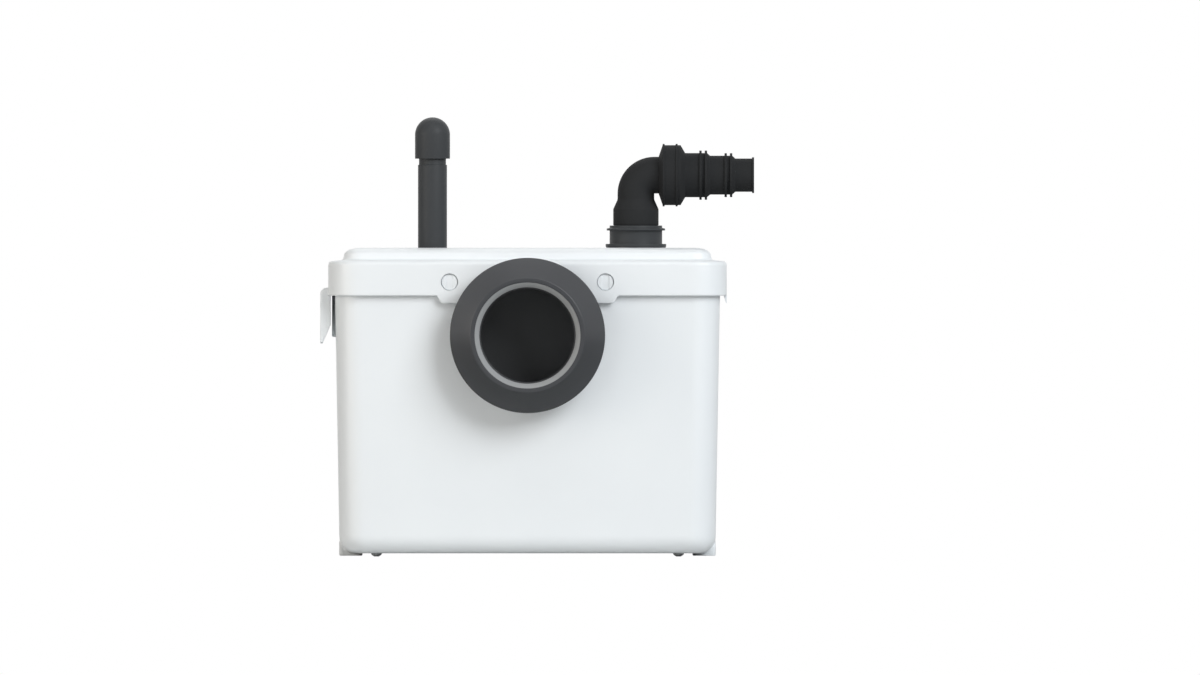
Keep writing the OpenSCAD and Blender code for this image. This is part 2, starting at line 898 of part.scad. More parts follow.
module motor_can() {
    color(STEEL)
        on_motor_axis(motor_z)
            difference() {
                union() {
                    cylinder(r = motor_r, h = cap_z - motor_z);
                    around(ear_turns, ear_reach)
                        cylinder(r = ear_r, h = can_wall);
                    around(ear_turns, motor_r - ear_root)
                        translate([0, -ear_r, 0])
                            cube([ear_r + ear_root, 2 * ear_r, can_wall]);
                }
                difference() {
                    translate([0, 0, can_wall])
                        cylinder(r = motor_r - can_wall, h = cap_z - motor_z);
                    cylinder(r = bearing_r + bearing_seat, h = can_wall + bearing_w);
                }
                translate([0, 0, can_wall])
                    cylinder(r = bearing_r + run_fit, h = reach);
                translate([0, 0, -cut])
                    cylinder(r = shaft_r + shaft_clear, h = reach);
                around(ear_turns, ear_reach)
                    translate([0, 0, -cut])
                        cylinder(r = pilot_r, h = can_wall + 2 * cut);
            }
}

module motor_screws() {
    color(STEEL)
        on_motor_axis(motor_z + can_wall)
            around(ear_turns, ear_reach)
                screw(pilot_r, can_wall + deck_t);
}

module motor_cap() {
    color(BLACK)
        on_motor_axis(cap_z)
            difference() {
                union() {
                    cylinder(r = motor_r, h = cap_skirt);
                    translate([0, 0, cap_skirt])
                        cylinder(r1 = motor_r, r2 = motor_r - cap_draw, h = cap_h - cap_skirt);
                    translate([0, 0, -bearing_w])
                        cylinder(r = bearing_r + bearing_seat, h = bearing_w + cut);
                }
                translate([0, 0, -bearing_w - cut])
                    cylinder(r = bearing_r + run_fit, h = bearing_w + cut);
                around(diagonal_turns, cap_screw_ring)
                    translate([0, 0, cap_h - cap_screw_len])
                        cylinder(r = pilot_r, h = cap_screw_len + cut);
            }
}

module cap_screws() {
    color(STEEL)
        on_motor_axis(cap_z + cap_h)
            around(diagonal_turns, cap_screw_ring)
                screw(pilot_r, cap_screw_len);
}

module stator_core() {
    color(IRON)
        on_motor_axis(stator_z)
            difference() {
                ring(motor_r - can_wall - motor_gap, stator_bore_r, stator_h);
                around([15 : 30 : 345], stator_bore_r + 2 * stator_slot_r)
                    translate([0, 0, -cut])
                        cylinder(r = stator_slot_r, h = stator_h + 2 * cut);
            }
}

module stator_windings() {
    color(COPPER)
        for (z = [stator_z - winding_h, stator_z + stator_h])
            on_motor_axis(z)
                ring(motor_r - can_wall - winding_in, stator_bore_r + winding_in, winding_h);
}

module bearing() {
    ball_ring = (bearing_r + shaft_r) / 2;
    groove_half = 1.5;
    groove_depth = 1;
    difference() {
        ring(bearing_r, shaft_r + run_fit, bearing_w);
        for (z = [-groove_depth, bearing_w - groove_depth])
            translate([0, 0, z])
                ring(ball_ring + groove_half, ball_ring - groove_half, 2 * groove_depth);
    }
}

module lower_bearing() {
    color(STEEL)
        on_motor_axis(lower_bearing_z)
            bearing();
}

module upper_bearing() {
    color(STEEL)
        on_motor_axis(upper_bearing_z)
            bearing();
}

module motor_shaft() {
    color(STEEL)
        on_motor_axis(shaft_low)
            cylinder(r = shaft_r, h = cap_z - 1 - shaft_low);
}

module rotor_core() {
    color(IRON)
        on_motor_axis(stator_z)
            ring(stator_bore_r - rotor_gap, shaft_r, stator_h);
}

module macerator_blade() {
    arm_w = 14;
    arm_t = 4;
    tooth = [8, 4, blade_hub_h - 2];
    color(STEEL)
        on_motor_axis(blade_z)
            difference() {
                union() {
                    cylinder(r = blade_hub_r, h = blade_hub_h);
                    intersection() {
                        cylinder(r = blade_r, h = blade_hub_h);
                        union() {
                            translate([-blade_r, -arm_w / 2, 0])
                                cube([2 * blade_r, arm_w, arm_t]);
                            for (turn = [0, 180])
                                rotate(turn)
                                    translate([blade_r - tooth[0], -arm_w / 2, 0])
                                        cube(tooth);
                        }
                    }
                }
                translate([0, 0, -cut])
                    cylinder(r = shaft_r, h = blade_hub_h + 2 * cut);
            }
}

module impeller() {
    hub_r = 11;
    vane_t = 3;
    vane_start = 9;
    vane_turn = -20;
    vane_edge = 5;
    color(BLACK)
        on_motor_axis(impeller_z)
            difference() {
                union() {
                    cylinder(r = hub_r, h = impeller_h);
                    translate([0, 0, impeller_h - impeller_plate])
                        cylinder(r = impeller_r, h = impeller_plate);
                    for (turn = [0 : 60 : 300])
                        rotate(turn)
                            translate([vane_start, -vane_t / 2, 0])
                                rotate(vane_turn)
                                    cube([impeller_r - vane_start - vane_edge, vane_t, impeller_h]);
                }
                translate([0, 0, -cut])
                    cylinder(r = shaft_r, h = impeller_h + 2 * cut);
            }
}

module impeller_nut() {
    color(STEEL)
        on_motor_axis(impeller_z - nut_h)
            difference() {
                cylinder(r = shaft_r + nut_wall, h = nut_h, $fn = 6);
                translate([0, 0, -cut])
                    cylinder(r = shaft_r, h = nut_h + 2 * cut);
            }
}

module capacitor() {
    tab = [0.8, 6, 8];
    tab_x = 5;
    color(STEEL)
        translate([-wiring_x, wiring_y, motor_z]) {
            cylinder(r = capacitor_r, h = capacitor_h);
            for (side = [-1, 1])
                translate([side * tab_x - tab[0] / 2, -tab[1] / 2, capacitor_h])
                    cube(tab);
        }
}

module capacitor_clip() {
    color(BLACK)
        translate([-wiring_x, wiring_y, motor_z])
            ring(capacitor_r + clip_wall, capacitor_r, clip_h);
}

module terminal_box() {
    color(BEIGE)
        translate([-wiring_x - box_w / 2 - box_in, -wiring_y - box_d / 2, motor_z]) {
            cube([box_w, box_d, box_h - box_lid_h]);
            translate([-box_lid_lip, -box_lid_lip, box_h - box_lid_h])
                cube([box_w + 2 * box_lid_lip, box_d + 2 * box_lid_lip, box_lid_h]);
        }
}

// The motor's lead leaves the end cap level, bends down once and enters the terminal box
module motor_lead() {
    dx = -wiring_x - box_in - motor_x;
    dy = -wiring_y;
    span = norm([dx, dy]);
    start = motor_r - cap_draw - lead_sink;
    lead_z = cap_z + cap_h / 2;
    low = motor_z + box_h;
    color(BLACK)
        on_motor_axis(0)
            rotate(atan2(dy, dx)) {
                difference() {
                    translate([start, 0, lead_z])
                        rotate([0, 90, 0])
                            cylinder(r = lead_r, h = span - lead_bend_r - start);
                    translate([0, 0, cap_z + cap_skirt])
                        cylinder(r1 = motor_r, r2 = motor_r - cap_draw, h = cap_h - cap_skirt);
                }
                translate([span - lead_bend_r, 0, lead_z - lead_bend_r])
                    rotate([90, 0, 0])
                        rotate_extrude(angle = 90)
                            translate([lead_bend_r, 0])
                                circle(r = lead_r);
                translate([span, 0, low])
                    cylinder(r = lead_r, h = lead_z - lead_bend_r - low);
            }
}

module on_gland_axis() {
    translate([-gland_x, 0, gland_z])
        rotate([-90, 0, 0])
            children();
}

module cable_gland() {
    low = gland_pad_in - gland_nut_t - gland_past;
    color(BLACK)
        on_gland_axis()
            difference() {
                union() {
                    translate([0, 0, low])
                        cylinder(r = gland_r, h = gland_pad_out - low);
                    translate([0, 0, gland_pad_out])
                        cylinder(r = gland_r + gland_hex, h = gland_hex_h, $fn = 6);
                    translate([0, 0, gland_pad_out + gland_hex_h])
                        cylinder(r1 = gland_r, r2 = gland_r - gland_dome_draw, h = gland_dome_h);
                }
                cylinder(r = gland_bore_r, h = reach);
                translate([0, 0, low - cut])
                    cylinder(r = gland_r - gland_tail_wall, h = gland_pad_out - low + cut);
            }
}

module gland_nut() {
    color(BLACK)
        on_gland_axis()
            translate([0, 0, gland_pad_in - gland_nut_t])
                difference() {
                    cylinder(r = gland_r + gland_nut_wall, h = gland_nut_t, $fn = 6);
                    translate([0, 0, -cut])
                        cylinder(r = gland_r, h = gland_nut_t + 2 * cut);
                }
}

module pipe_run(r, past) {
    translate([stub_x - past, outlet_y, pipe_z])
        rotate([0, 90, 0])
            cylinder(r = r, h = outlet_x - pipe_bend_r - stub_x + past);
    translate([outlet_x - pipe_bend_r, outlet_y, pipe_z + pipe_bend_r])
        rotate([90, 0, 0])
            rotate_extrude(angle = -90)
                translate([pipe_bend_r, 0])
                    circle(r = r);
    translate([outlet_x, outlet_y, pipe_z + pipe_bend_r])
        cylinder(r = r, h = riser_top - pipe_z - pipe_bend_r + past);
}

module discharge_pipe() {
    color(BLACK)
        difference() {
            pipe_run(pipe_r, 0);
            pipe_run(pipe_bore_r, cut);
        }
}

module riser_seal() {
    color(GREY_RUBBER)
        at_outlet()
            translate([0, 0, riser_top - riser_seal_down])
                ring(pipe_r + seal_t, pipe_r, riser_seal_h);
}

module at_level() {
    translate([level_x, -level_y, 0])
        children();
}

module level_tube() {
    color(BLACK)
        at_level()
            difference() {
                translate([0, 0, floor_z])
                    ring(level_r, level_r - level_wall, switch_z - floor_z);
                for (turn = [0, 60, 120])
                    rotate(turn)
                        translate([-level_r - cut, -level_notch / 2, floor_z - cut])
                            cube([2 * (level_r + cut), level_notch, level_leg_h + cut]);
            }
}

module switch_screw_holes(low, high) {
    around(diagonal_turns, switch_screw_ring)
        translate([0, 0, low])
            cylinder(r = switch_screw_r, h = high - low);
}

module switch_housing() {
    color(BLACK)
        at_level()
            difference() {
                translate([0, 0, switch_z])
                    cylinder(r = switch_r, h = housing_h);
                translate([0, 0, switch_z - cut])
                    cylinder(r = level_r - level_wall, h = housing_h);
                translate([0, 0, switch_z + switch_wall])
                    cylinder(r = switch_bore_r, h = housing_h);
                switch_screw_holes(switch_z + switch_screw_up, reach);
            }
}

module switch_diaphragm() {
    color(GREY_RUBBER)
        at_level()
            difference() {
                translate([0, 0, switch_z + housing_h])
                    cylinder(r = switch_r, h = diaphragm_t);
                switch_screw_holes(0, reach);
            }
}

module switch_plunger() {
    head_t = 2;
    color(WHITE)
        at_level()
            translate([0, 0, cover_low + plunger_gap]) {
                cylinder(r = plunger_r * 2, h = head_t);
                cylinder(r = plunger_r, h = plunger_h);
            }
}

module microswitch() {
    width = 20;
    depth = 10;
    color(BLACK)
        at_level()
            translate([-width / 2, -depth / 2, microswitch_z])
                cube([width, depth, cover_low + switch_cover_h - switch_wall - microswitch_z]);
}

module switch_cover() {
    color(WHITE)
        at_level()
            difference() {
                translate([0, 0, cover_low])
                    cylinder(r = switch_r, h = switch_cover_h);
                translate([0, 0, cover_low - cut])
                    cylinder(r = switch_bore_r, h = switch_cover_h + cut - switch_wall);
                switch_screw_holes(cover_low - cut, reach);
            }
}

module switch_screws() {
    color(STEEL)
        at_level()
            translate([0, 0, cover_low + switch_cover_h])
                around(diagonal_turns, switch_screw_ring)
                    screw(switch_screw_r, switch_cover_h + diaphragm_t + housing_h - 2 * switch_screw_up);
}

module rim_block() {
    profile = concat(
        [[0, 0], [lid_corner_r, 0]],
        arc(lid_corner_r - rim_edge_r, rim_h - rim_edge_r, rim_edge_r, 0, 90),
        [[0, rim_h]]
    );
    hull()
        translate([0, 0, rim_low])
            corners(lid_w, lid_d, lid_corner_r)
                rotate_extrude($fn = hull_fn)
                    polygon(profile);
}

module plateau_block() {
    high = lid_top - rim_under;
    round_r = plateau_corner_r - plateau_draw;
    round_w = min(plateau_round_w, round_r);
    profile = concat(
        [[0, 0], [plateau_corner_r, 0]],
        arc(round_r - round_w, high - plateau_round_h, round_w, 0, 90, rise = plateau_round_h / round_w),
        [[0, high]]
    );
    hull()
        translate([0, 0, rim_under])
            corners(plateau_w, plateau_d, plateau_corner_r)
                rotate_extrude($fn = hull_fn)
                    polygon(profile);
}

module lid_hollow() {
    hull()
        translate([0, 0, rim_low - cut])
            corners(lid_w - 2 * lid_wall, lid_d - 2 * lid_wall, lid_corner_r - lid_wall)
                cylinder(r = lid_corner_r - lid_wall, h = rim_under - rim_low + cut, $fn = hull_fn);
    inner = min(plateau_round_w, plateau_corner_r - plateau_draw) / 2 + lid_wall;
    hull()
        translate([0, 0, rim_under - cut])
            corners(plateau_w - 2 * inner, plateau_d - 2 * inner, plateau_corner_r - inner)
                cylinder(r = plateau_corner_r - inner, h = plateau_under - rim_under + cut, $fn = hull_fn);
}

module front_tab() {
    low = rim_low - tab_drop;
    root = rim_low + tab_root;
    translate([0, -lid_d / 2 + lid_wall, 0])
        rotate([90, 0, 0])
            linear_extrude(lid_wall)
                polygon([
                    [-tab_half_w, root], [-tab_half_w, rim_low], [tab_slant - tab_half_w, low],
                    [tab_half_w - tab_slant, low], [tab_half_w, rim_low], [tab_half_w, root]
                ]);
}

module side_grip() {
    outer = -lid_w / 2 - grip_proud;
    inner = -skirt_in_x - grip_sink;
    tip = rim_low - grip_drop;
    high = rim_low + grip_up;
    bend = grip_proud * grip_bend;
    translate([0, grip_w / 2, 0])
        rotate([90, 0, 0])
            linear_extrude(grip_w)
                polygon(concat(
                    [[inner, high], [inner, tip + grip_lead], [outer + grip_tip, tip], [outer, tip]],
                    arc(outer + bend, high - bend, bend, 180, 90)
                ));
}

module side_lip() {
    outer = lid_w / 2;
    root = rim_low + tab_root;
    low = rim_low - lip_drop;
    translate([0, grip_w / 2, 0])
        rotate([90, 0, 0])
            linear_extrude(grip_w)
                polygon([
                    [skirt_in_x, root], [outer, root], [outer, low],
                    [outer - side_lip_tip, low], [skirt_in_x + side_lip_sink, rim_low]
                ]);
}

module lock_places() {
    for (side = [-1, 1])
        translate([side * lock_x, -lid_d / 2, lock_z])
            rotate([-90, 0, 0])
                children();
}

module lid() {
    color(WHITE)
        difference() {
            union() {
                difference() {
                    union() {
                        rim_block();
                        plateau_block();
                    }
                    lid_hollow();
                }
                front_tab();
                side_grip();
                side_lip();
                lock_places()
                    cylinder(r = lock_recess_r + lock_boss, h = lid_wall + skirt_gap - 2 * lock_play);
            }
            on_inlet_axis()
                cylinder(r = notch_r, h = reach);
            lock_places() {
                translate([0, 0, -cut])
                    cylinder(r = lock_recess_r, h = lock_recess + cut);
                cylinder(r = lock_shank_r + run_fit, h = lid_wall + skirt_gap);
            }
            at_vent()
                cylinder(r = vent_r + slip_fit, h = reach);
            at_outlet()
                cylinder(r = tail_r + slip_fit, h = reach);
        }
}

module gasket_outline(inset, low, high) {
    hull()
        translate([0, 0, low])
            corners(tank_w - 2 * inset, tank_d - 2 * inset, tank_corner_r - inset)
                cylinder(r = tank_corner_r - inset, h = high - low, $fn = hull_fn);
}

module lid_gasket() {
    color(GREY_RUBBER)
        difference() {
            gasket_outline(0, tank_top, rim_under);
            gasket_outline(tank_wall, tank_top - cut, rim_under + cut);
        }
}

// A quarter-turn lock: a slotted head in the recess, a shank, and a tongue behind the tank's wall
module lid_lock(side) {
    head_r = lock_recess_r - head_gap;
    tongue_in = skirt_gap + lid_wall + tank_wall + tongue_gap;
    color(WHITE)
        translate([side * lock_x, -lid_d / 2, lock_z])
            rotate([-90, 0, 0]) {
                difference() {
                    translate([0, 0, head_sink])
                        cylinder(r = head_r, h = lock_recess - head_sink);
                    translate([-lock_slot_w / 2, -reach / 2, head_sink - cut])
                        cube([lock_slot_w, reach, slot_depth + cut]);
                }
                translate([0, 0, head_sink + slot_depth])
                    cylinder(r = lock_shank_r, h = tongue_in + tongue_t - head_sink - slot_depth);
                translate([-tongue_half, -lock_tongue / 2, tongue_in])
                    cube([2 * tongue_half, lock_tongue, tongue_t]);
            }
}

module left_lid_lock() {
    lid_lock(-1);
}

module right_lid_lock() {
    lid_lock(1);
}

module at_vent() {
    translate([-vent_x, vent_y, 0])
        children();
}

module vent_pipe() {
    color(BLACK)
        at_vent()
            difference() {
                union() {
                    translate([0, 0, vent_low])
                        cylinder(r = vent_r, h = vent_top - vent_low);
                    translate([0, 0, vent_top - cut])
                        cylinder(r = vent_neck_r, h = vent_web_z - vent_top + cut);
                }
                cylinder(r = vent_bore_r, h = reach);
            }
}

module vent_seal() {
    color(GREY_RUBBER)
        at_vent()
            translate([0, 0, plateau_under - vent_seal_t])
                ring(vent_r + vent_seal_w, vent_r, vent_seal_t);
}

module vent_nut() {
    color(BLACK)
        at_vent()
            translate([0, 0, plateau_under - vent_seal_t - vent_nut_t])
                difference() {
                    cylinder(r = vent_r + vent_nut_w, h = vent_nut_t, $fn = 8);
                    translate([0, 0, -cut])
                        cylinder(r = vent_r, h = vent_nut_t + 2 * cut);
                }
}

module charcoal_filter() {
    color("#1c1d1f")
        at_vent()
            translate([0, 0, vent_top - filter_down])
                cylinder(r = vent_bore_r, h = filter_len);
}

module vent_cap() {
    inner = vent_cap_r - vent_cap_wall;
    dome_z = vent_cap_z + vent_cap_h;
    web_w = 2.4;
    color(BLACK)
        at_vent() {
            rotate_extrude()
                polygon(concat(
                    [[vent_cap_r, vent_cap_z]],
                    arc(0, dome_z, vent_cap_r, 0, 90, 16),
                    arc(0, dome_z, inner, 90, 0, 16),
                    [[inner, vent_cap_z]]
                ));
            translate([0, 0, vent_web_z])
                intersection() {
                    cylinder(r = inner + vent_cap_wall / 4, h = vent_web_t);
                    union() {
                        translate([-vent_cap_r, -web_w / 2, 0])
                            cube([2 * vent_cap_r, web_w, vent_web_t]);
                        translate([-web_w / 2, -vent_cap_r, 0])
                            cube([web_w, 2 * vent_cap_r, vent_web_t]);
                    }
                }
        }
}

module at_outlet() {
    translate([outlet_x, outlet_y, 0])
        children();
}

module outlet_collar() {
    body_z = collar_z + collar_flange_t;
    lip_z = collar_top - collar_lip_down;
    color(BLACK)
        at_outlet()
            rotate_extrude()
                polygon([
                    [elbow_bore_r, riser_top + riser_gap], [socket_r, riser_top + riser_gap],
                    [socket_r, tail_low], [tail_r, tail_low], [tail_r, collar_z], [collar_flange_r, collar_z],
                    [collar_flange_r, body_z], [collar_r, body_z], [collar_r, lip_z],
                    [collar_lip_r, lip_z], [collar_lip_r, lip_z + lip_w], [collar_r, lip_z + lip_w],
                    [collar_r, collar_top], [spigot_r + slip_fit, collar_top],
                    [spigot_r + slip_fit, spigot_low - spigot_gap], [elbow_bore_r, spigot_low - spigot_gap]
                ]);
}

module collar_gasket() {
    color(GREY_RUBBER)
        at_outlet()
            translate([0, 0, lid_top])
                ring(collar_flange_r - collar_gasket_in, tail_r, collar_gasket_t);
}

module collar_nut() {
    color(BLACK)
        at_outlet()
            translate([0, 0, plateau_under - nut_t])
                difference() {
                    cylinder(r = tail_r + collar_nut_w, h = nut_t, $fn = 8);
                    translate([0, 0, -cut])
                        cylinder(r = tail_r, h = nut_t + 2 * cut);
                }
}

module discharge_elbow() {
    neck_z = elbow_z + elbow_socket_h;
    bend_z = elbow_run_z - elbow_bend_r;
    color(BLACK)
        difference() {
            union() {
                at_outlet()
                    rotate_extrude()
                        polygon([
                            [0, spigot_low], [spigot_r, spigot_low], [spigot_r, elbow_z],
                            [elbow_socket_r, elbow_z], [elbow_socket_r, neck_z],
                            [elbow_r, neck_z + elbow_neck_h], [elbow_r, bend_z], [0, bend_z]
                        ]);
                elbow_turn(elbow_r);
                on_discharge_axis()
                    translate([0, 0, elbow_bend_r])
                        cylinder(r = elbow_r, h = elbow_end - elbow_bend_r);
            }
            at_outlet()
                translate([0, 0, spigot_low - cut])
                    cylinder(r = elbow_bore_r, h = bend_z - spigot_low + cut);
            elbow_turn(elbow_bore_r);
            on_discharge_axis()
                translate([0, 0, elbow_bend_r])
                    cylinder(r = elbow_bore_r, h = elbow_end);
            at_outlet()
                translate([0, 0, spigot_low + elbow_seal_up])
                    ring(spigot_r + cut, spigot_r - elbow_seal_w, elbow_seal_h);
        }
}

module elbow_turn(r) {
    translate([outlet_x + elbow_bend_r, outlet_y, elbow_run_z - elbow_bend_r])
        rotate([90, 0, 0])
            rotate([0, 0, 90])
                rotate_extrude(angle = 90)
                    translate([elbow_bend_r, 0])
                        circle(r = r);
}

module elbow_seal() {
    color(GREY_RUBBER)
        at_outlet()
            translate([0, 0, spigot_low + elbow_seal_up])
                ring(spigot_r, spigot_r - elbow_seal_w, elbow_seal_h);
}

// Two ribs that keep a hose clip in place, ending at the given distance along the adapter
function clip_ribs(r, end) = [
    for (x = [end - clip_rib_step - clip_rib_w, end - clip_rib_w])
        each [
            [r, x], [r + clip_rib_proud, x], [r + clip_rib_proud, x + clip_rib_w], [r, x + clip_rib_w]
        ]
];

module outlet_adapter() {
    inner = chamber_r - chamber_wall;
    lip_r = chamber_r + lip_proud;
    back_lip = chamber_end - back_lip_in;
    color(BLACK)
        on_discharge_axis()
            rotate_extrude()
                polygon(concat(
                    [
                        [elbow_r, adapter_start], [chamber_r, chamber_start],
                        [lip_r, chamber_start], [lip_r, chamber_start + lip_w],
                        [chamber_r, chamber_start + lip_w], [chamber_r, back_lip],
                        [lip_r, back_lip], [lip_r, back_lip + lip_w],
                        [chamber_r, back_lip + lip_w], [chamber_r, chamber_end], [step_r[0], step_start[0]]
                    ],
                    clip_ribs(step_r[0], step_start[1] - step_cone),
                    [[step_r[0], step_start[1] - step_cone], [step_r[1], step_start[1]]],
                    clip_ribs(step_r[1], step_start[2] - step_cone),
                    [
                        [step_r[1], step_start[2] - step_cone], [step_r[2], step_start[2]],
                        [step_r[2], adapter_end - lip_w], [step_r[2] + lip_proud, adapter_end - lip_w],
                        [step_r[2] + lip_proud, adapter_end], [step_r[2] - step_wall, adapter_end],
                        [step_r[2] - step_wall, step_start[2]],
                        [step_r[1] - step_wall, step_start[2] - step_cone],
                        [step_r[1] - step_wall, step_start[1]],
                        [step_r[0] - step_wall, step_start[1] - step_cone],
                        [step_r[0] - step_wall, step_start[0]], [inner, chamber_end - 1],
                        [inner, seat_x], [elbow_r, seat_x]
                    ]
                ));
}

module valve_seat() {
    lug_low = flap_barrel_w / 2 + flap_lug_gap;
    lug_len = flap_pin_x - seat_x - seat_t + flap_lug_sink + flap_lug_past;
    color(GREY_RUBBER)
        difference() {
            union() {
                on_discharge_axis()
                    translate([0, 0, seat_x])
                        ring(chamber_r - chamber_wall, seat_bore_r, seat_t);
                for (side = [-1, 1])
                    translate([
                        outlet_x + seat_x + seat_t - flap_lug_sink,
                        outlet_y + (side > 0 ? lug_low : -lug_low - flap_lug_w),
                        elbow_run_z + flap_pin_up - flap_lug_half
                    ])
                        cube([lug_len, flap_lug_w, 2 * flap_lug_half]);
            }
            translate([outlet_x + flap_pin_x, outlet_y - reach, elbow_run_z + flap_pin_up])
                rotate([-90, 0, 0])
                    cylinder(r = flap_pin_r, h = 2 * reach);
        }
}

module valve_pin() {
    length = flap_barrel_w + 2 * (flap_lug_gap + flap_lug_w);
    color(STEEL)
        translate([outlet_x + flap_pin_x, outlet_y - length / 2, elbow_run_z + flap_pin_up])
            rotate([-90, 0, 0])
                cylinder(r = flap_pin_r, h = length);
}

module valve_flap() {
    face = seat_x + seat_t + flap_gap;
    color(BLACK)
        difference() {
            union() {
                on_discharge_axis()
                    translate([0, 0, face])
                        cylinder(r = flap_r, h = flap_t);
                translate([outlet_x + face, outlet_y - flap_barrel_w / 2 + 2, elbow_run_z])
                    cube([flap_t, flap_barrel_w - 4, flap_pin_up]);
                translate([outlet_x + flap_pin_x, outlet_y - flap_barrel_w / 2, elbow_run_z + flap_pin_up])
                    rotate([-90, 0, 0])
                        cylinder(r = flap_barrel_r, h = flap_barrel_w);
            }
            translate([outlet_x + flap_pin_x, outlet_y - reach, elbow_run_z + flap_pin_up])
                rotate([-90, 0, 0])
                    cylinder(r = flap_pin_r + run_fit, h = 2 * reach);
        }
}

tank();
tank_feet();
inlet_collar();
inlet_lip_seal();
inlet_hood();
pump_casing();
casing_cover();
casing_screws();
grinder_basket();
motor_deck();
deck_screws();
shaft_seal();
motor_can();
motor_screws();
motor_cap();
cap_screws();
stator_core();
stator_windings();
lower_bearing();
upper_bearing();
motor_shaft();
rotor_core();
macerator_blade();
impeller();
impeller_nut();
capacitor();
capacitor_clip();
terminal_box();
motor_lead();
cable_gland();
gland_nut();
discharge_pipe();
riser_seal();
level_tube();
switch_housing();
switch_diaphragm();
switch_plunger();
microswitch();
switch_cover();
switch_screws();
lid();
lid_gasket();
left_lid_lock();
right_lid_lock();
vent_pipe();
vent_seal();
vent_nut();
charcoal_filter();
vent_cap();
outlet_collar();
collar_gasket();
collar_nut();
discharge_elbow();
elbow_seal();
outlet_adapter();
valve_seat();
valve_pin();
valve_flap();
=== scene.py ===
import math

import bmesh
import bpy
import numpy as np
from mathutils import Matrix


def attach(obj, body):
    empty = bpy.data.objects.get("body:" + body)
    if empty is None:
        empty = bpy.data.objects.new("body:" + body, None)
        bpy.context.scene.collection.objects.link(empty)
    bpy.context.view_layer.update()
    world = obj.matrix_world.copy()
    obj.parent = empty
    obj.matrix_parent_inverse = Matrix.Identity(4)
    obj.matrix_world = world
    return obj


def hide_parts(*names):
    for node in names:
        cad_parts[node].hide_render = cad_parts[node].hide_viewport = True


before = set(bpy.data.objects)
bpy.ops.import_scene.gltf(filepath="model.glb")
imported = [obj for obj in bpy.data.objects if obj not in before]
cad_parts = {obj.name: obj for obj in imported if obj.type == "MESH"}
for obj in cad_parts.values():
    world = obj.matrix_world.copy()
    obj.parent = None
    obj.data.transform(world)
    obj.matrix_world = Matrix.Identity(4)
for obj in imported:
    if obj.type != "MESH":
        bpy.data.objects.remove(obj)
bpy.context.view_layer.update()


# Tank: a tub of white polypropylene, injection moulded with drafted walls, round upright corners and a
# rolled lower edge. Its front wall has a round opening for the inlet and two slots for the lid's locks.
# All sizes are in millimetres, from the floor under the middle of the tank.
TANK_HALF = np.array([193.0, 89.0])
TANK_TOP, TANK_UNDERSIDE = 290.0, 3.2
TANK_WALL, TANK_CORNER, TANK_ROLL, TANK_DRAFT = 3.5, 27.0, 17.0, 4.8
INLET_HEIGHT, INLET_OPENING = 221.0, 53.5
LOCK_OUT, LOCK_HEIGHT, LOCK_SLOT = 78.0, 274.5, 5.0


def linear(colour):
    """An sRGB hex colour as linear RGBA: a channel c becomes ((c + 0.055) / 1.055) ** 2.4, or c / 12.92 where
    it is dark."""
    c = np.array([int(colour[i : i + 2], 16) for i in (1, 3, 5)]) / 255
    return (*np.where(c > 0.04045, ((c + 0.055) / 1.055) ** 2.4, c / 12.92), 1.0)


def add(tree, kind, settings=(), links=()):
    """Adds a shader node. A setting goes to the node's property or else to its socket, and a link joins
    another node's socket to it."""
    made = tree.nodes.new("ShaderNode" + kind)
    for key, value in dict(settings).items():
        if isinstance(key, str) and hasattr(made, key):
            setattr(made, key, value)
        else:
            made.inputs[key].default_value = value
    for key, socket in dict(links).items():
        tree.links.new(socket, made.inputs[key])
    return made


def moulded(name, light, dark, rough, grain, depth, specular=0.5, metallic=0.0):
    """A moulded or rolled surface: its colour drifts between two close tones over about 90 mm, its roughness
    over about 14 mm, and a grain of the given size in millimetres lifts it by the given depth."""
    made = bpy.data.materials.new(name)
    made.use_nodes = True
    tree = made.node_tree
    shader = tree.nodes["Principled BSDF"]
    for key, value in {"IOR": 1.5, "Specular IOR Level": specular, "Metallic": metallic}.items():
        shader.inputs[key].default_value = value
    place = add(tree, "TexCoord").outputs["Object"]
    drift = add(tree, "TexNoise", {"Scale": 1000 / 90, "Detail": 2}, {"Vector": place})
    tones = {"data_type": "RGBA", 6: linear(light), 7: linear(dark)}
    tone = add(tree, "Mix", tones, {0: drift.outputs["Fac"]})
    patch = add(tree, "TexNoise", {"Scale": 1000 / 14, "Detail": 3}, {"Vector": place})
    sheen = add(tree, "MapRange", {3: rough - 0.05, 4: rough + 0.05}, {0: patch.outputs["Fac"]})
    speck = add(tree, "TexNoise", {"Scale": 1000 / grain, "Detail": 2}, {"Vector": place})
    lift = {"Strength": 1.0, "Distance": depth / 1000}
    relief = add(tree, "Bump", lift, {"Height": speck.outputs["Fac"]})
    tree.links.new(tone.outputs[2], shader.inputs["Base Color"])
    tree.links.new(sheen.outputs[0], shader.inputs["Roughness"])
    tree.links.new(relief.outputs[0], shader.inputs["Normal"])
    return made


# Satin moulded polypropylene: a soft broad highlight and a barely seen texture from the mould.
white_polypropylene = moulded("white_polypropylene", "#EDF1F3", "#E9EDF0", 0.36, 1.6, 0.012)


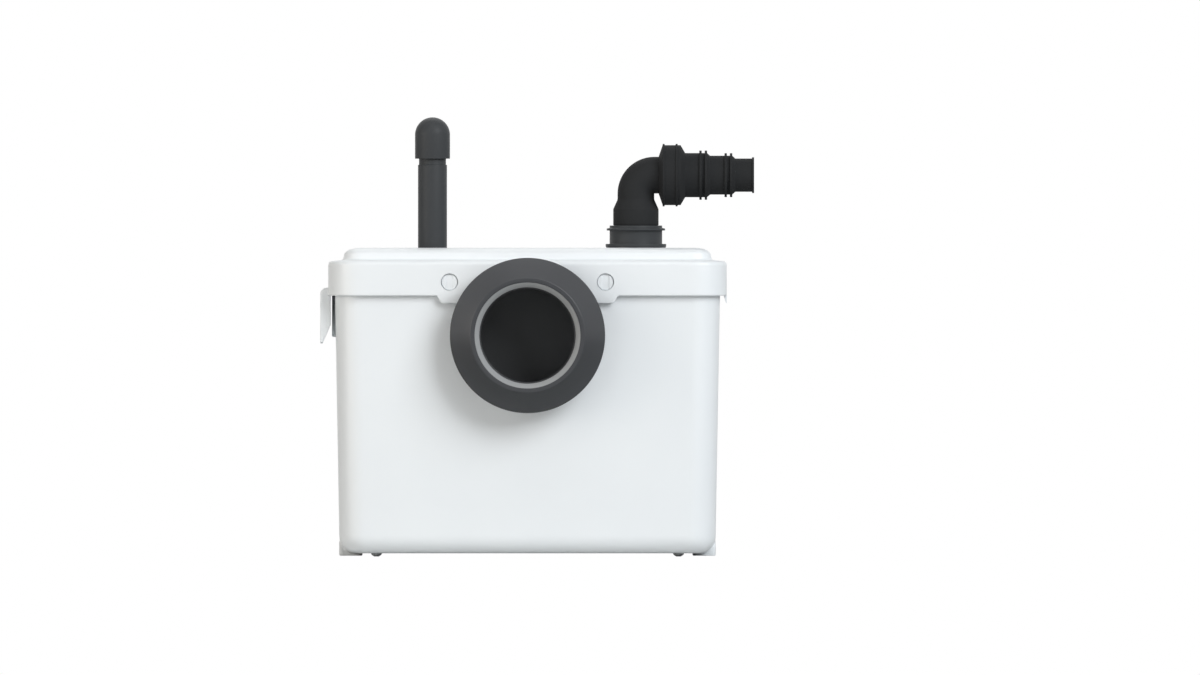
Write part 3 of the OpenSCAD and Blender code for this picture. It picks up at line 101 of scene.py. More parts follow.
def make_piece(name, rings, body, material, slot, loop=False, gone=None, more=(), crease=35):
    """A mesh through rings of points in millimetres (ring, point, xyz): each point is joined to the next
    point of its ring and to the same point of the next ring. With loop the last ring joins the first one,
    and otherwise the first and last ring are each filled by a flat face. Cells marked gone are left out,
    and more adds faces. Edges sharper than crease, in degrees, stay sharp."""
    count, around = rings.shape[:2]
    index = np.arange(count * around).reshape(count, around)
    rows = np.vstack([index, index[:1]]) if loop else index
    nxt = np.roll(rows, -1, axis=1)
    cells = np.stack([rows[:-1], nxt[:-1], nxt[1:], rows[1:]], axis=-1)
    keep = np.ones(cells.shape[:2], bool) if gone is None else ~gone
    faces = cells[keep].tolist() + [list(f) for f in more]
    if not loop:
        faces += [index[0][::-1].tolist(), index[-1].tolist()]
    mesh = bpy.data.meshes.new(name)
    mesh.from_pydata((rings.reshape(-1, 3) / 1000).tolist(), [], faces)
    work = bmesh.new()
    work.from_mesh(mesh)
    bmesh.ops.remove_doubles(work, verts=work.verts, dist=2e-6)
    bmesh.ops.dissolve_degenerate(work, edges=work.edges, dist=1e-6)
    work.to_mesh(mesh)
    work.free()
    mesh.shade_smooth()
    mesh.set_sharp_from_angle(angle=math.radians(crease))
    mesh.materials.append(material)
    made = bpy.data.objects.new(name, mesh)
    bpy.context.scene.collection.objects.link(made)
    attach(made, body)
    return made


def white_piece(name, rings, body, loop=False, **options):
    """A mesh through rings, moulded in white polypropylene."""
    return make_piece(name, rings, body, white_polypropylene, "white_plastic", loop, **options)


def box_rings(half_x, half_y, corner, z, along):
    """Rings round a rounded box, one for each level z: quarter circles of the corner radius, joined by
    straight sides. along gives the columns of the front and back, as shares of their straight part from
    -1 to 1."""
    sizes = np.broadcast_arrays(half_x, half_y, corner, z)
    a, b, r, z = (np.asarray(v, float).reshape(-1, 1) for v in sizes)
    quarter = np.linspace(0, math.pi / 2, 13)
    c, s = np.cos(quarter), np.sin(quarter)
    side = np.linspace(-1, 1, 14)[1:-1]
    cx, cy, flat, short = a - r, b - r, 0 * along, 0 * side
    right_x = [cx * along, cx + r * s, a + short, cx + r * c]
    left_x = [-cx * along, -cx - r * s, -a + short, -cx - r * c]
    right_y = [flat - b, -cy - r * c, cy * side, cy + r * s]
    left_y = [flat + b, cy + r * c, -cy * side, -cy - r * s]
    x, y = np.hstack(right_x + left_x), np.hstack(right_y + left_y)
    return np.stack([x, y, z + 0 * x], axis=-1)


def move_up_wall(rings, columns, z, lean):
    """Moves points of a wall to new heights z, along the wall: its y changes by lean for each millimetre."""
    rings[:, columns, 1] += (z - rings[:, columns, 2]) * lean
    rings[:, columns, 2] = z


# The walls are a grid of square cells. At the inlet a core of cells is left out, and the cells between the
# core and a wider window are pulled out to the round opening.
CELL = 4.0
inlet_core, inlet_window = 11 * CELL, 16 * CELL
levels = np.arange(INLET_HEIGHT - 50 * CELL, TANK_TOP, CELL)
roll = np.linspace(0, math.pi / 2, 10)
inner_roll = TANK_ROLL - TANK_WALL
lip = np.array([0.0, 0.25, 0.9])
drop = np.array([0.7, 0.25, 0.0])
tank_inset = np.hstack([
    TANK_ROLL * (1 - np.sin(roll)), 0 * levels, lip, TANK_WALL - lip[::-1], TANK_WALL + 0 * levels,
    TANK_WALL + inner_roll * (1 - np.sin(roll[::-1])),
])
tank_z = np.hstack([
    TANK_UNDERSIDE + TANK_ROLL * (1 - np.cos(roll)), levels, TANK_TOP - drop, TANK_TOP - drop[::-1],
    levels[::-1], TANK_UNDERSIDE + TANK_WALL + inner_roll * (1 - np.cos(roll[::-1])),
])
draft_rate = TANK_DRAFT / (TANK_TOP - TANK_UNDERSIDE - TANK_ROLL)
drawn = np.clip((TANK_TOP - tank_z) * draft_rate, 0, TANK_DRAFT) + tank_inset
straight = TANK_HALF[0] - TANK_CORNER
half_slot = np.array([0.0, 2.0, 3.6, 4.6, LOCK_SLOT, LOCK_SLOT + 0.2])
slot_columns = np.unique([*(LOCK_OUT + half_slot), *(LOCK_OUT - half_slot)])
columns = np.unique(np.hstack([np.arange(-40, 41) * CELL, slot_columns, -slot_columns]))
tank_rings = box_rings(
    TANK_HALF[0] - drawn, TANK_HALF[1] - drawn, TANK_CORNER - tank_inset, tank_z, columns / straight
)
front = np.arange(len(columns))
wall = tank_rings[:, front]
across, up = wall[..., 0], wall[..., 2] - INLET_HEIGHT
square = np.maximum(abs(across), abs(up))
share = np.clip((inlet_window - square) / (inlet_window - inlet_core), 0, 1)
stretch = 1 + share * (INLET_OPENING / np.maximum(np.hypot(across, up), 1e-6) - 1)
tank_rings[:, front, 0] = across * stretch
move_up_wall(tank_rings, front, INLET_HEIGHT + up * stretch, -draft_rate)
beside = abs(abs(columns) - LOCK_OUT)
slot_round = LOCK_HEIGHT - np.sqrt(np.clip(LOCK_SLOT**2 - beside**2, 0, None))
slot_floor = np.where(beside < LOCK_SLOT + 0.1, slot_round, TANK_TOP)
move_up_wall(tank_rings, front, np.minimum(tank_rings[:, front, 2], slot_floor), -draft_rate)
inside = square <= inlet_core + 0.01
gone = np.zeros((len(tank_z) - 1, tank_rings.shape[1]), bool)
gone[:, front[:-1]] = inside[:-1, :-1] & inside[1:, :-1] & inside[:-1, 1:] & inside[1:, 1:]
grid = np.arange(tank_rings.shape[0] * tank_rings.shape[1]).reshape(tank_rings.shape[:2])
core_rows = np.flatnonzero(inside.any(axis=1))
core_columns = np.flatnonzero(inside.any(axis=0))
outer_core = grid[np.ix_(core_rows[: len(core_rows) // 2], core_columns)]
inner_core = grid[np.ix_(core_rows[len(core_rows) // 2 :][::-1], core_columns)]
outer_edge, inner_edge = (
    np.hstack([b[0, :-1], b[:-1, -1], b[-1, :0:-1], b[:0:-1, 0]]) for b in (outer_core, inner_core)
)
opening_faces = np.stack([outer_edge, np.roll(outer_edge, -1), np.roll(inner_edge, -1), inner_edge], axis=-1)
tank_shell = white_piece("tank_shell", tank_rings, "base", gone=gone, more=opening_faces.tolist())
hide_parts("tank")


# Inlet boss, gland pad and deck posts: rings and studs of white polypropylene, moulded in one with the tank's
# walls and floor. The boss holds the inlet's collar, the pad the cable gland, and the posts the motor's deck.
BOSS_FRONT, BOSS_BACK, BOSS_R = -91.5, -82.3, 61.9
GLAND_PLACE, GLAND_HOLE, PAD_R, PAD_FRONT, PAD_BACK = (-130.0, 230.0), 10.1, 17.0, 82.5, 90.5
POST_PLACES = [(-178, 35), (-178, -35), (-72, 72)]
POST_HOLE, POST_R, POST_LOW, POST_TOP = 1.6, 6.0, 6.0, 140.0
SOFT_EDGE = 0.8


def oblong(first, last, low, high):
    """The four corners of a rectangle, in order."""
    return [(first, low), (last, low), (last, high), (first, high)]


def rounded(corners, radius, steps=5):
    """A closed outline with round corners: at each corner an arc touches both sides, radius / tan(half the
    angle) away from the corner, or less where a side is short."""
    p = np.asarray(corners, float)
    back, ahead = np.roll(p, 1, axis=0) - p, np.roll(p, -1, axis=0) - p
    run_back, run_ahead = np.linalg.norm(back, axis=1), np.linalg.norm(ahead, axis=1)
    u, v = back / run_back[:, None], ahead / run_ahead[:, None]
    half = np.clip(np.arccos(np.clip((u * v).sum(axis=1), -1, 1)) / 2, 0.02, math.pi / 2 - 1e-4)
    room = 0.48 * np.minimum(run_back, run_ahead)
    touch = np.minimum(np.broadcast_to(radius, len(p)) / np.tan(half), room)
    inward = (u + v) / np.maximum(np.linalg.norm(u + v, axis=1), 1e-9)[:, None]
    middle = p + inward * (touch / np.cos(half))[:, None]
    first, last = p + u * touch[:, None] - middle, p + v * touch[:, None] - middle
    sweep = (math.pi - 2 * half)[:, None, None]
    t = np.linspace(0, 1, steps)[None, :, None]
    arc = (np.sin((1 - t) * sweep) * first[:, None] + np.sin(t * sweep) * last[:, None]) / np.sin(sweep)
    return (middle[:, None] + arc).reshape(-1, 2)


def turns(outline, way):
    """The outline in the given sense: 1 for anticlockwise, -1 for clockwise, by the sign of its area."""
    x, y = outline[:, 0], outline[:, 1]
    area = (x * np.roll(y, -1) - np.roll(x, -1) * y).sum()
    return outline if area * way > 0 else outline[::-1]


def spin(outline, axis, centre, steps=72):
    """A closed outline of (radius, place along the axis) turned once about an axis that runs along x, y or z
    through centre: a point goes to centre + radius * (cosine, sine) in the plane across the axis."""
    r, h = turns(np.asarray(outline, float), 1).T[:, :, None]
    angle = np.linspace(0, 2 * math.pi, steps, endpoint=False)
    cross = (r * np.cos(angle), r * np.sin(angle), h + 0 * angle)
    shift = {"z": 0, "x": 1, "y": 2}[axis]
    place = np.zeros(3)
    place[[i for i in range(3) if "xyz"[i] != axis]] = centre
    return np.stack([cross[(i - shift) % 3] for i in range(3)], axis=-1) + place


INLET_AXIS = (0, INLET_HEIGHT)
boss = rounded(oblong(INLET_OPENING, BOSS_R, BOSS_FRONT, BOSS_BACK), SOFT_EDGE)
white_piece("inlet_boss", spin(boss, "y", INLET_AXIS, 96), "base", loop=True)
pad = rounded(oblong(GLAND_HOLE, PAD_R, PAD_FRONT, PAD_BACK), SOFT_EDGE)
white_piece("gland_pad", spin(pad, "y", GLAND_PLACE), "base", loop=True)
post = rounded(oblong(POST_HOLE, POST_R, POST_LOW, POST_TOP), 0.5 * SOFT_EDGE)
for i, place in enumerate(POST_PLACES):
    white_piece(f"deck_post_{i}", spin(post, "z", place, 32), "base", loop=True)


# Floor lugs: two feet of white polypropylene moulded on the tank's back corners. Each has a hole for a screw
# into the floor.
LUG_IN, LUG_OUT, LUG_FRONT, LUG_BACK, LUG_CORNER = 165.0, 188.3, 52.0, 117.0, 3.0
LUG_LOW, LUG_HIGH, LUG_EDGE, LUG_BEVEL = 0.8, 16.0, 1.2, 0.35
LUG_HOLE, LUG_HOLE_BACK, LUG_HOLE_EDGE = 3.2, 107.0, 0.5


def inset(outline, by):
    """The outline drawn in: each point moves across the outline's direction there, to its left."""
    along = np.roll(outline, -1, axis=0) - np.roll(outline, 1, axis=0)
    along = along / np.maximum(np.linalg.norm(along, axis=1), 1e-9)[:, None]
    return outline + by * np.stack([-along[:, 1], along[:, 0]], axis=-1)


lug = turns(rounded(oblong(LUG_IN, LUG_OUT, LUG_FRONT, LUG_BACK), LUG_CORNER, 9), 1)
lug_centre = np.array([(LUG_IN + LUG_OUT) / 2, LUG_HOLE_BACK])
spoke = (lug - lug_centre) / np.linalg.norm(lug - lug_centre, axis=1)[:, None]
hole, hole_edge = lug_centre + spoke * LUG_HOLE, lug_centre + spoke * (LUG_HOLE + LUG_HOLE_EDGE)
lug_stack = [
    (inset(lug, LUG_EDGE), LUG_LOW), (inset(lug, LUG_BEVEL), LUG_LOW + LUG_BEVEL),
    (lug, LUG_LOW + LUG_EDGE), (lug, LUG_HIGH - LUG_EDGE),
    (inset(lug, LUG_BEVEL), LUG_HIGH - LUG_BEVEL), (inset(lug, LUG_EDGE), LUG_HIGH),
    (hole_edge, LUG_HIGH), (hole, LUG_HIGH - LUG_HOLE_EDGE),
    (hole, LUG_LOW + LUG_HOLE_EDGE), (hole_edge, LUG_LOW),
]
lug_rings = np.stack([np.column_stack([ring, np.full(len(ring), z)]) for ring, z in lug_stack])
white_piece("right_floor_lug", lug_rings, "base", loop=True)
white_piece("left_floor_lug", (lug_rings * [-1, 1, 1])[:, ::-1], "base", loop=True)


# Catches: two hooks of white polypropylene behind the front wall, moulded in one with the tank. The locks'
# tongues turn under them.
CATCH_FAR, CATCH_NEAR, CATCH_LOW, CATCH_HIGH = 11.0, 5.0, 278.5, 284.5
CATCH_FRONT, CATCH_BACK = -87.0, -79.5


def bar(outline, axis, start, end, edge):
    """A flat outline carried straight along x, y or z from start to end. It is drawn in at both ends, by
    edge at the very end, so that the ends have a round edge. The outline's two numbers are the other two
    axes, in their order, and a point that repeats the one before it is dropped."""
    sense = -1 if axis == "y" else 1
    shape = turns(np.asarray(outline, float), sense)
    shape = shape[np.linalg.norm(shape - np.roll(shape, 1, axis=0), axis=1) > 1e-6]
    steps = [(start, 1.3 * edge), (start, edge), (start + 0.3 * edge, 0.3 * edge), (start + edge, 0.0)]
    steps += [(end - edge, 0.0), (end - 0.3 * edge, 0.3 * edge), (end, edge), (end, 1.3 * edge)]
    flats = [(inset(shape, by * sense), place) for place, by in steps]
    return np.stack([np.insert(flat, "xyz".index(axis), place, axis=1) for flat, place in flats])


for side, name in ((-1, "left"), (1, "right")):
    middle = side * LOCK_OUT
    catch = rounded(oblong(middle - CATCH_FAR, middle - CATCH_NEAR, CATCH_LOW, CATCH_HIGH), 0.5)
    white_piece(f"{name}_catch", bar(catch, "y", CATCH_FRONT, CATCH_BACK, 0.4), "base")


# Guide rib: a strip of white polypropylene on the tank's left wall, moulded in one with it. It guides the
# lid's skirt as the lid comes down.
RIB_HALF, RIB_LOW, RIB_HIGH, RIB_OUT, RIB_IN = 20.0, 219.5, 264.8, -195.5, -189.0
rib = rounded(oblong(-RIB_HALF, RIB_HALF, RIB_LOW, RIB_HIGH), 2.0)
white_piece("guide_rib", bar(rib, "x", RIB_OUT, RIB_IN, 1.2), "base")


# Feet: four domed glides of moulded white polypropylene, fixed under the tank. They keep its underside off
# the floor.
FOOT_OUT, FOOT_SIDE, FOOT_R, FOOT_FLAT, FOOT_BULGE, FOOT_TOP = 151, 52, 5.5, 2.4, 3.4, 3.6
bulge = np.linspace(0.55, 1.35, 8)
foot = np.vstack([
    [(0, 0), (FOOT_FLAT, 0)], np.column_stack([FOOT_R * np.sin(bulge), FOOT_BULGE * (1 - np.cos(bulge))]),
    [(FOOT_R, FOOT_TOP), (0, FOOT_TOP)],
])
feet = [
    white_piece(f"foot_{i}", spin(foot, "z", (x * FOOT_OUT, y * FOOT_SIDE), 40), "base", loop=True)
    for i, (x, y) in enumerate([(-1, -1), (1, -1), (-1, 1), (1, 1)])
]
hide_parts("tank_feet")


# Pump: casing, impeller and screwed cover of moulded black polypropylene, on legs on the tank's floor. Above
# them is the slotted grinder basket, where the steel blade turns on the motor's shaft.
def dress(material, *names):
    """Gives CAD nodes a material."""
    for name in names:
        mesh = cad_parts[name].data
        mesh.materials.clear()
        mesh.materials.append(material)


# Satin black polypropylene: dark grey where light grazes it, with a wide dull highlight.
black_polypropylene = moulded("black_polypropylene", "#424446", "#3F4143", 0.42, 1.2, 0.012, specular=0.1)
# Stainless steel sheet, rolled: a bright, even sheen with a very fine grain.
rolled_steel = moulded("rolled_stainless_steel", "#BFC3C6", "#B4B8BC", 0.30, 0.9, 0.004, metallic=1.0)
dress(black_polypropylene, "pump_casing", "casing_cover", "impeller", "grinder_basket")
dress(rolled_steel, "casing_screws", "macerator_blade", "impeller_nut", "motor_shaft")


# Motor: a can of drawn steel, screwed to the white deck and closed by a black cap. Inside are stacked cores
# and copper windings.
# Electrical sheet: dull grey edges. Enamelled copper: a warm varnished gloss.
electrical_sheet = moulded("electrical_sheet_steel", "#6D7176", "#5F6368", 0.55, 0.7, 0.02, metallic=1.0)
enamelled_copper = moulded("enamelled_copper", "#B5713C", "#A5622F", 0.35, 0.9, 0.06, metallic=1.0)
dress(white_polypropylene, "motor_deck")
dress(rolled_steel, "motor_can", "deck_screws", "motor_screws", "cap_screws")
dress(rolled_steel, "lower_bearing", "upper_bearing")
dress(black_polypropylene, "motor_cap")
dress(electrical_sheet, "stator_core", "rotor_core")
dress(enamelled_copper, "stator_windings")


# Seals and leads: rings, a diaphragm and the motor's lead, of moulded black rubber. The seals are squeezed
# between the pieces that they close.
# Black EPDM rubber, moulded: dark grey, with a wide sheen that mirrors what is bright above it.
black_rubber = moulded("black_epdm_rubber", "#2E3034", "#2B2D31", 0.34, 0.9, 0.02, specular=0.57)
dress(black_rubber, "shaft_seal", "motor_lead", "riser_seal", "switch_diaphragm")
dress(black_rubber, "vent_seal", "collar_gasket", "elbow_seal")


# Wiring: a steel capacitor in its black clip, a terminal box of pressed resin, and the black cable gland with
# its nut in the back wall.
# Beige phenolic resin: an even tone with a soft gloss from the press.
beige_resin = moulded("beige_phenolic_resin", "#D8CFBA", "#CFC6B0", 0.42, 1.0, 0.015)
dress(rolled_steel, "capacitor")
dress(black_polypropylene, "capacitor_clip", "cable_gland", "gland_nut")
dress(beige_resin, "terminal_box")


# Discharge pipe and level switch: a riser and a pressure tube of black polypropylene, with the switch under a
# white cover that four screws hold.
dress(black_polypropylene, "discharge_pipe", "level_tube", "switch_housing", "microswitch")
dress(white_polypropylene, "switch_cover", "switch_plunger")
dress(rolled_steel, "switch_screws")


# Inlet: a collar of moulded black rubber, pushed through the tank's boss, with a wide conical flange and a
# flat mouth. Behind it a hood of dark grey polypropylene turns the flow down into the basket.
# Dark grey polypropylene: satin, and a little lighter than the black pieces.
grey_polypropylene = moulded("dark_grey_polypropylene", "#5C5E60", "#585A5C", 0.45, 1.2, 0.012, specular=0.3)
dress(grey_polypropylene, "inlet_hood")
STOP_R, INLET_BORE, LIP_R, MOUTH_R, FLANGE_R = 46.7, 48.2, 53.1, 57.5, 77.7
GROOVE_R, BEAD_R, RING_R, NECK_R = 53.4, 57.0, 60.0, 54.4
COLLAR_BACK, BEAD_FRONT, RING_FRONT, LIP_SEAT, MOUTH = -75.8, -79.8, -95.5, -133.0, -143.0
FLANGE_BACK, FLANGE_BEVEL, FLANGE_EDGE = -116.5, 2.0, -121.0
collar = [
    (STOP_R, COLLAR_BACK), (BEAD_R, COLLAR_BACK), (BEAD_R, BEAD_FRONT), (GROOVE_R, BEAD_FRONT),
    (GROOVE_R, BOSS_FRONT), (RING_R, BOSS_FRONT), (RING_R, RING_FRONT), (NECK_R, RING_FRONT),
    (NECK_R, LIP_SEAT), (FLANGE_R - FLANGE_BEVEL, FLANGE_BACK), (FLANGE_R, FLANGE_BACK - FLANGE_BEVEL),
    (FLANGE_R, FLANGE_EDGE), (MOUTH_R, MOUTH), (LIP_R, MOUTH), (LIP_R, LIP_SEAT),
    (INLET_BORE, LIP_SEAT), (INLET_BORE, BOSS_FRONT), (STOP_R, BOSS_FRONT),
]
collar_round = [0.6, 1, 1, 0.5, 0.5, 1, 1, 1.5, 2, 0.8, 0.8, 1.0, 0.7, 0.5, 0.3, 0.3, 0.3, 0.3]
collar_rings = spin(rounded(collar, collar_round), "y", INLET_AXIS, 128)
inlet_collar = make_piece("rubber_collar", collar_rings, "base", black_rubber, "black_rubber", loop=True)
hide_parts("inlet_collar")


# Lip seal: a ring of moulded grey silicone in the collar's mouth, bevelled inwards so that a toilet's outlet
# finds its way in.
# Grey silicone rubber: an even mid grey with a faint gloss.
grey_rubber = moulded("grey_silicone_rubber", "#9EA0A1", "#999B9C", 0.5, 0.9, 0.015, specular=0.4)
LIP_TIP = -136.5
lip_outline = [(INLET_BORE, LIP_SEAT), (LIP_R, LIP_SEAT), (LIP_R, MOUTH + 0.1), (INLET_BORE, LIP_TIP)]
lip_rings = spin(rounded(lip_outline, [0.2, 0.2, 0.3, 0.6]), "y", INLET_AXIS, 128)
lip_seal = make_piece("lip_ring", lip_rings, "base", grey_rubber, "grey_rubber", loop=True)
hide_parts("inlet_lip_seal")


# Lid: a moulding of white polypropylene with a deep rim, a raised middle and a tab at the front for the two
# locks. It sits on a grey gasket on the tank's edge.
LID_HALF = np.array([199.3, 95.3])
LID_CORNER, LID_WALL = 33.3, 3.0
RIM_LOW, RIM_UNDER, RIM_TOP, PLATEAU_UNDER, LID_TOP = 260.8, 293.5, 296.5, 305.7, 308.7
RIM_ROUND, LEDGE, LEDGE_RISE, SKIRT_TOP = 4.0, 14.6, 1.5, 291.0
PLATEAU_IN, SHOULDER_W, SHOULDER_H, HOLLOW_IN = 15.9, 16.0, 7.5, 25.3
TAB_LOW, TAB_HALF, TAB_SLANT, TAB_ROUND = 253.3, 90.6, 4.5, 4.0
NOTCH = 62.5
POCKET_R, POCKET_DEPTH = 8.6, 2.7
dress(grey_rubber, "lid_gasket", "valve_seat")

# The section from the hollow's middle down the skirt's inside, round its lower edge, up its outside and over
# the rim to the raised middle. Each point is an inset from the lid's outline and a height.
pocket_core, pocket_window, pocket_step = 6.0, 12.0, 1.5
skirt = np.arange(LOCK_HEIGHT - pocket_window, SKIRT_TOP, pocket_step)
side_top = LID_TOP - SHOULDER_H
over_rim = [(0, RIM_LOW), (0, RIM_TOP - LEDGE_RISE), (LEDGE, RIM_TOP), (PLATEAU_IN, side_top)]
outside = rounded(over_rim, [0, RIM_ROUND, 3, 0], 9)
outside = outside[(outside[:, 1] > SKIRT_TOP) & (outside[:, 1] < side_top - 0.1)]
bulge = np.linspace(0, math.pi / 2, 14)
shoulder_in = PLATEAU_IN + SHOULDER_W
shoulder = np.column_stack([shoulder_in - SHOULDER_W * np.cos(bulge), side_top + SHOULDER_H * np.sin(bulge)])
outside = np.vstack([outside, shoulder, [shoulder_in + 1.1, LID_TOP]])
underside = np.array([
    (30, PLATEAU_UNDER), (HOLLOW_IN + 0.3, PLATEAU_UNDER), (HOLLOW_IN, PLATEAU_UNDER - 0.3),
    (HOLLOW_IN, RIM_UNDER + 0.3), (HOLLOW_IN - 0.3, RIM_UNDER), (LID_WALL + 0.6, RIM_UNDER),
    (LID_WALL, RIM_UNDER - 0.6),
])
edge_inset = np.array([LID_WALL, LID_WALL - 0.25, LID_WALL - 0.8, 0.8, 0.25, 0.0])
edge_lift = np.array([0.8, 0.25, 0.0, 0.0, 0.25, 0.8])
lid_inset = np.hstack([underside[:, 0], LID_WALL + 0 * skirt, edge_inset, 0 * skirt, outside[:, 0]])
lid_z = np.hstack([underside[:, 1], skirt[::-1], RIM_LOW + edge_lift, skirt, outside[:, 1]])

# The lower edge follows the tab, whose ends are an arc below and a slant above, and arches over the inlet.
# Of the outline about a tab's end, between near and far, only its two round corners are kept.
near, far = 60, 120
tab_end = [(far, RIM_LOW), (TAB_HALF, RIM_LOW), (TAB_HALF - TAB_SLANT, TAB_LOW), (near, TAB_LOW)]
tab_end = rounded([*tab_end, (near, RIM_TOP), (far, RIM_TOP)], [0, 0.8, TAB_ROUND, 0, 0, 0], 9)[9:27][::-1]
ends = np.arange(TAB_HALF - 8, TAB_HALF + 2, 0.4)
about_lock = LOCK_OUT + np.arange(-pocket_window, pocket_window + 0.1, pocket_step)
lid_columns = np.unique(np.hstack([np.arange(-41, 42) * CELL, ends, -ends, about_lock, -about_lock]))
lid_along = lid_columns / (LID_HALF[0] - LID_CORNER)
lid_rings = box_rings(
    LID_HALF[0] - lid_inset, LID_HALF[1] - lid_inset, LID_CORNER - lid_inset, lid_z, lid_along
)
front = np.arange(len(lid_columns))
x = lid_columns[None, :] + 0 * lid_z[:, None]
low_edge = np.interp(abs(x), tab_end[:, 0], tab_end[:, 1])
arch = INLET_HEIGHT + np.sqrt(np.clip(NOTCH**2 - x**2, 0, None))
low_edge = np.where(abs(x) < NOTCH, np.maximum(low_edge, arch), low_edge)
first_edge = len(underside) + len(skirt)
edge_rows = np.arange(first_edge, first_edge + len(edge_lift))
heights = np.maximum(lid_rings[:, front, 2], low_edge + edge_lift[0])
heights[edge_rows] = low_edge[edge_rows] + edge_lift[:, None]
lid_rings[:, front, 2] = heights

# Each lock's pocket: a square core of the skirt's grid is pulled round and pushed in, and the cells about it
# are pulled to its edge.
outer_rows = np.arange(edge_rows[-1] + 1, edge_rows[-1] + 1 + len(skirt))
block = np.ix_(outer_rows, front)
pocket_floor = pocket_core - pocket_step
for side in (-1, 1):
    moved = lid_rings[block]
    across, up = moved[..., 0] - side * LOCK_OUT, moved[..., 2] - LOCK_HEIGHT
    square = np.maximum(abs(across), abs(up))
    on_floor = square <= pocket_floor + 0.01
    in_core = square < pocket_core + 0.01
    goal = np.where(on_floor, (POCKET_R - 0.15) * square / pocket_floor, POCKET_R)
    fade = np.clip((pocket_window - square) / (pocket_window - pocket_core), 0, 1)
    share = np.where(in_core, 1, fade)
    stretch = 1 + share * (goal / np.maximum(np.hypot(across, up), 1e-6) - 1)
    moved[..., 0] = side * LOCK_OUT + across * stretch
    moved[..., 2] = LOCK_HEIGHT + up * stretch
    moved[..., 1] += np.where(on_floor, POCKET_DEPTH, 0)
    lid_rings[block] = moved
lid_shell = white_piece("lid_shell", lid_rings, "lid")
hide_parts("lid")


# Side grip and side lip: the grip on the lid's left is a hooked flange to lift it by, and the lip on its
# right a small fin below the rim. Both are white polypropylene, moulded in one with the lid.
GRIP_HALF, GRIP_OUT, GRIP_IN, GRIP_TOP, GRIP_BEND = 58.0, -207.3, -196.7, 268.8, 6.4
GRIP_LEAD, GRIP_TIP_LOW, GRIP_TIP_T = 232.0, 213.0, 2.6
FIN_IN, FIN_OUT, FIN_TOP, FIN_FOOT, FIN_LOW, FIN_TIP_T = 196.5, 199.3, 263.0, 260.0, 253.5, 0.8
hook = np.linspace(math.pi, math.pi / 2, 9)
hook_x = GRIP_OUT + GRIP_BEND + GRIP_BEND * np.cos(hook)
hook_z = GRIP_TOP - GRIP_BEND + GRIP_BEND * np.sin(hook)
tip = [
    (GRIP_IN, GRIP_TOP), (GRIP_IN, GRIP_LEAD), (GRIP_OUT + GRIP_TIP_T, GRIP_TIP_LOW),
    (GRIP_OUT, GRIP_TIP_LOW),
]
grip = rounded(np.vstack([tip, np.column_stack([hook_x, hook_z])]), [0, 3, 0.6, 0.6] + [0] * len(hook))
white_piece("side_grip", bar(grip, "y", -GRIP_HALF, GRIP_HALF, 0.9), "lid")
fin = [
    (FIN_IN, FIN_TOP), (FIN_OUT, FIN_TOP), (FIN_OUT, FIN_LOW), (FIN_OUT - FIN_TIP_T, FIN_LOW),
    (FIN_IN, FIN_FOOT),
]
white_piece("side_lip", bar(rounded(fin, 0.3), "y", -GRIP_HALF, GRIP_HALF, 0.25), "lid")


# Lid locks: quarter-turn screws of moulded white polypropylene, each with a wide shallow slot in its head, a
# shank through the rim and a tongue behind the tank's wall.
HEAD_R, HEAD_FRONT, SLOT_FLOOR, HEAD_BACK, SLOT_HALF = 7.85, -94.1, -93.4, -92.7, 3.5
SHANK_R, SHANK_BACK, TONGUE_FRONT, TONGUE_BACK = 4.0, -80.6, -84.3, -80.8
TONGUE_W, TONGUE_L = 3.5, 10.0
stem = [
    (0, SLOT_FLOOR), (HEAD_R, SLOT_FLOOR), (HEAD_R, HEAD_BACK), (SHANK_R, HEAD_BACK), (SHANK_R, SHANK_BACK),
    (0, SHANK_BACK),
]
stem = rounded(stem, [0, 0.3, 0.1, 0.2, 0.3, 0])
tilt = math.acos(SLOT_HALF / HEAD_R)
arc = np.linspace(-tilt, tilt, 20)
for side, name in ((-1, "left"), (1, "right")):
    middle, body = np.array([side * LOCK_OUT, LOCK_HEIGHT]), f"{name}_lock"
    lock = white_piece(f"{name}_lock_stem", spin(stem, "y", middle, 64), body, loop=True)
    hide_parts(f"{name}_lid_lock")
    for hand in (-1, 1):
        land = middle + HEAD_R * np.column_stack([hand * np.cos(arc), np.sin(arc)])
        white_piece(f"{name}_lock_land_{hand}", bar(land, "y", HEAD_FRONT, SLOT_FLOOR + 0.2, 0.3), body)
    tongue = middle + rounded(oblong(-TONGUE_W, TONGUE_W, -TONGUE_L, TONGUE_L), 0.6)
    white_piece(f"{name}_lock_tongue", bar(tongue, "y", TONGUE_FRONT, TONGUE_BACK, 0.4), body)


# Vent: a pipe of black polypropylene through the lid, held by a nut underneath. A charcoal filter sits under
# its domed cap, which pushes on.
def black_piece(name, rings, body):
    """A mesh through rings that close on themselves, moulded in black polypropylene."""
    return make_piece(name, rings, body, black_polypropylene, "black_plastic", loop=True)


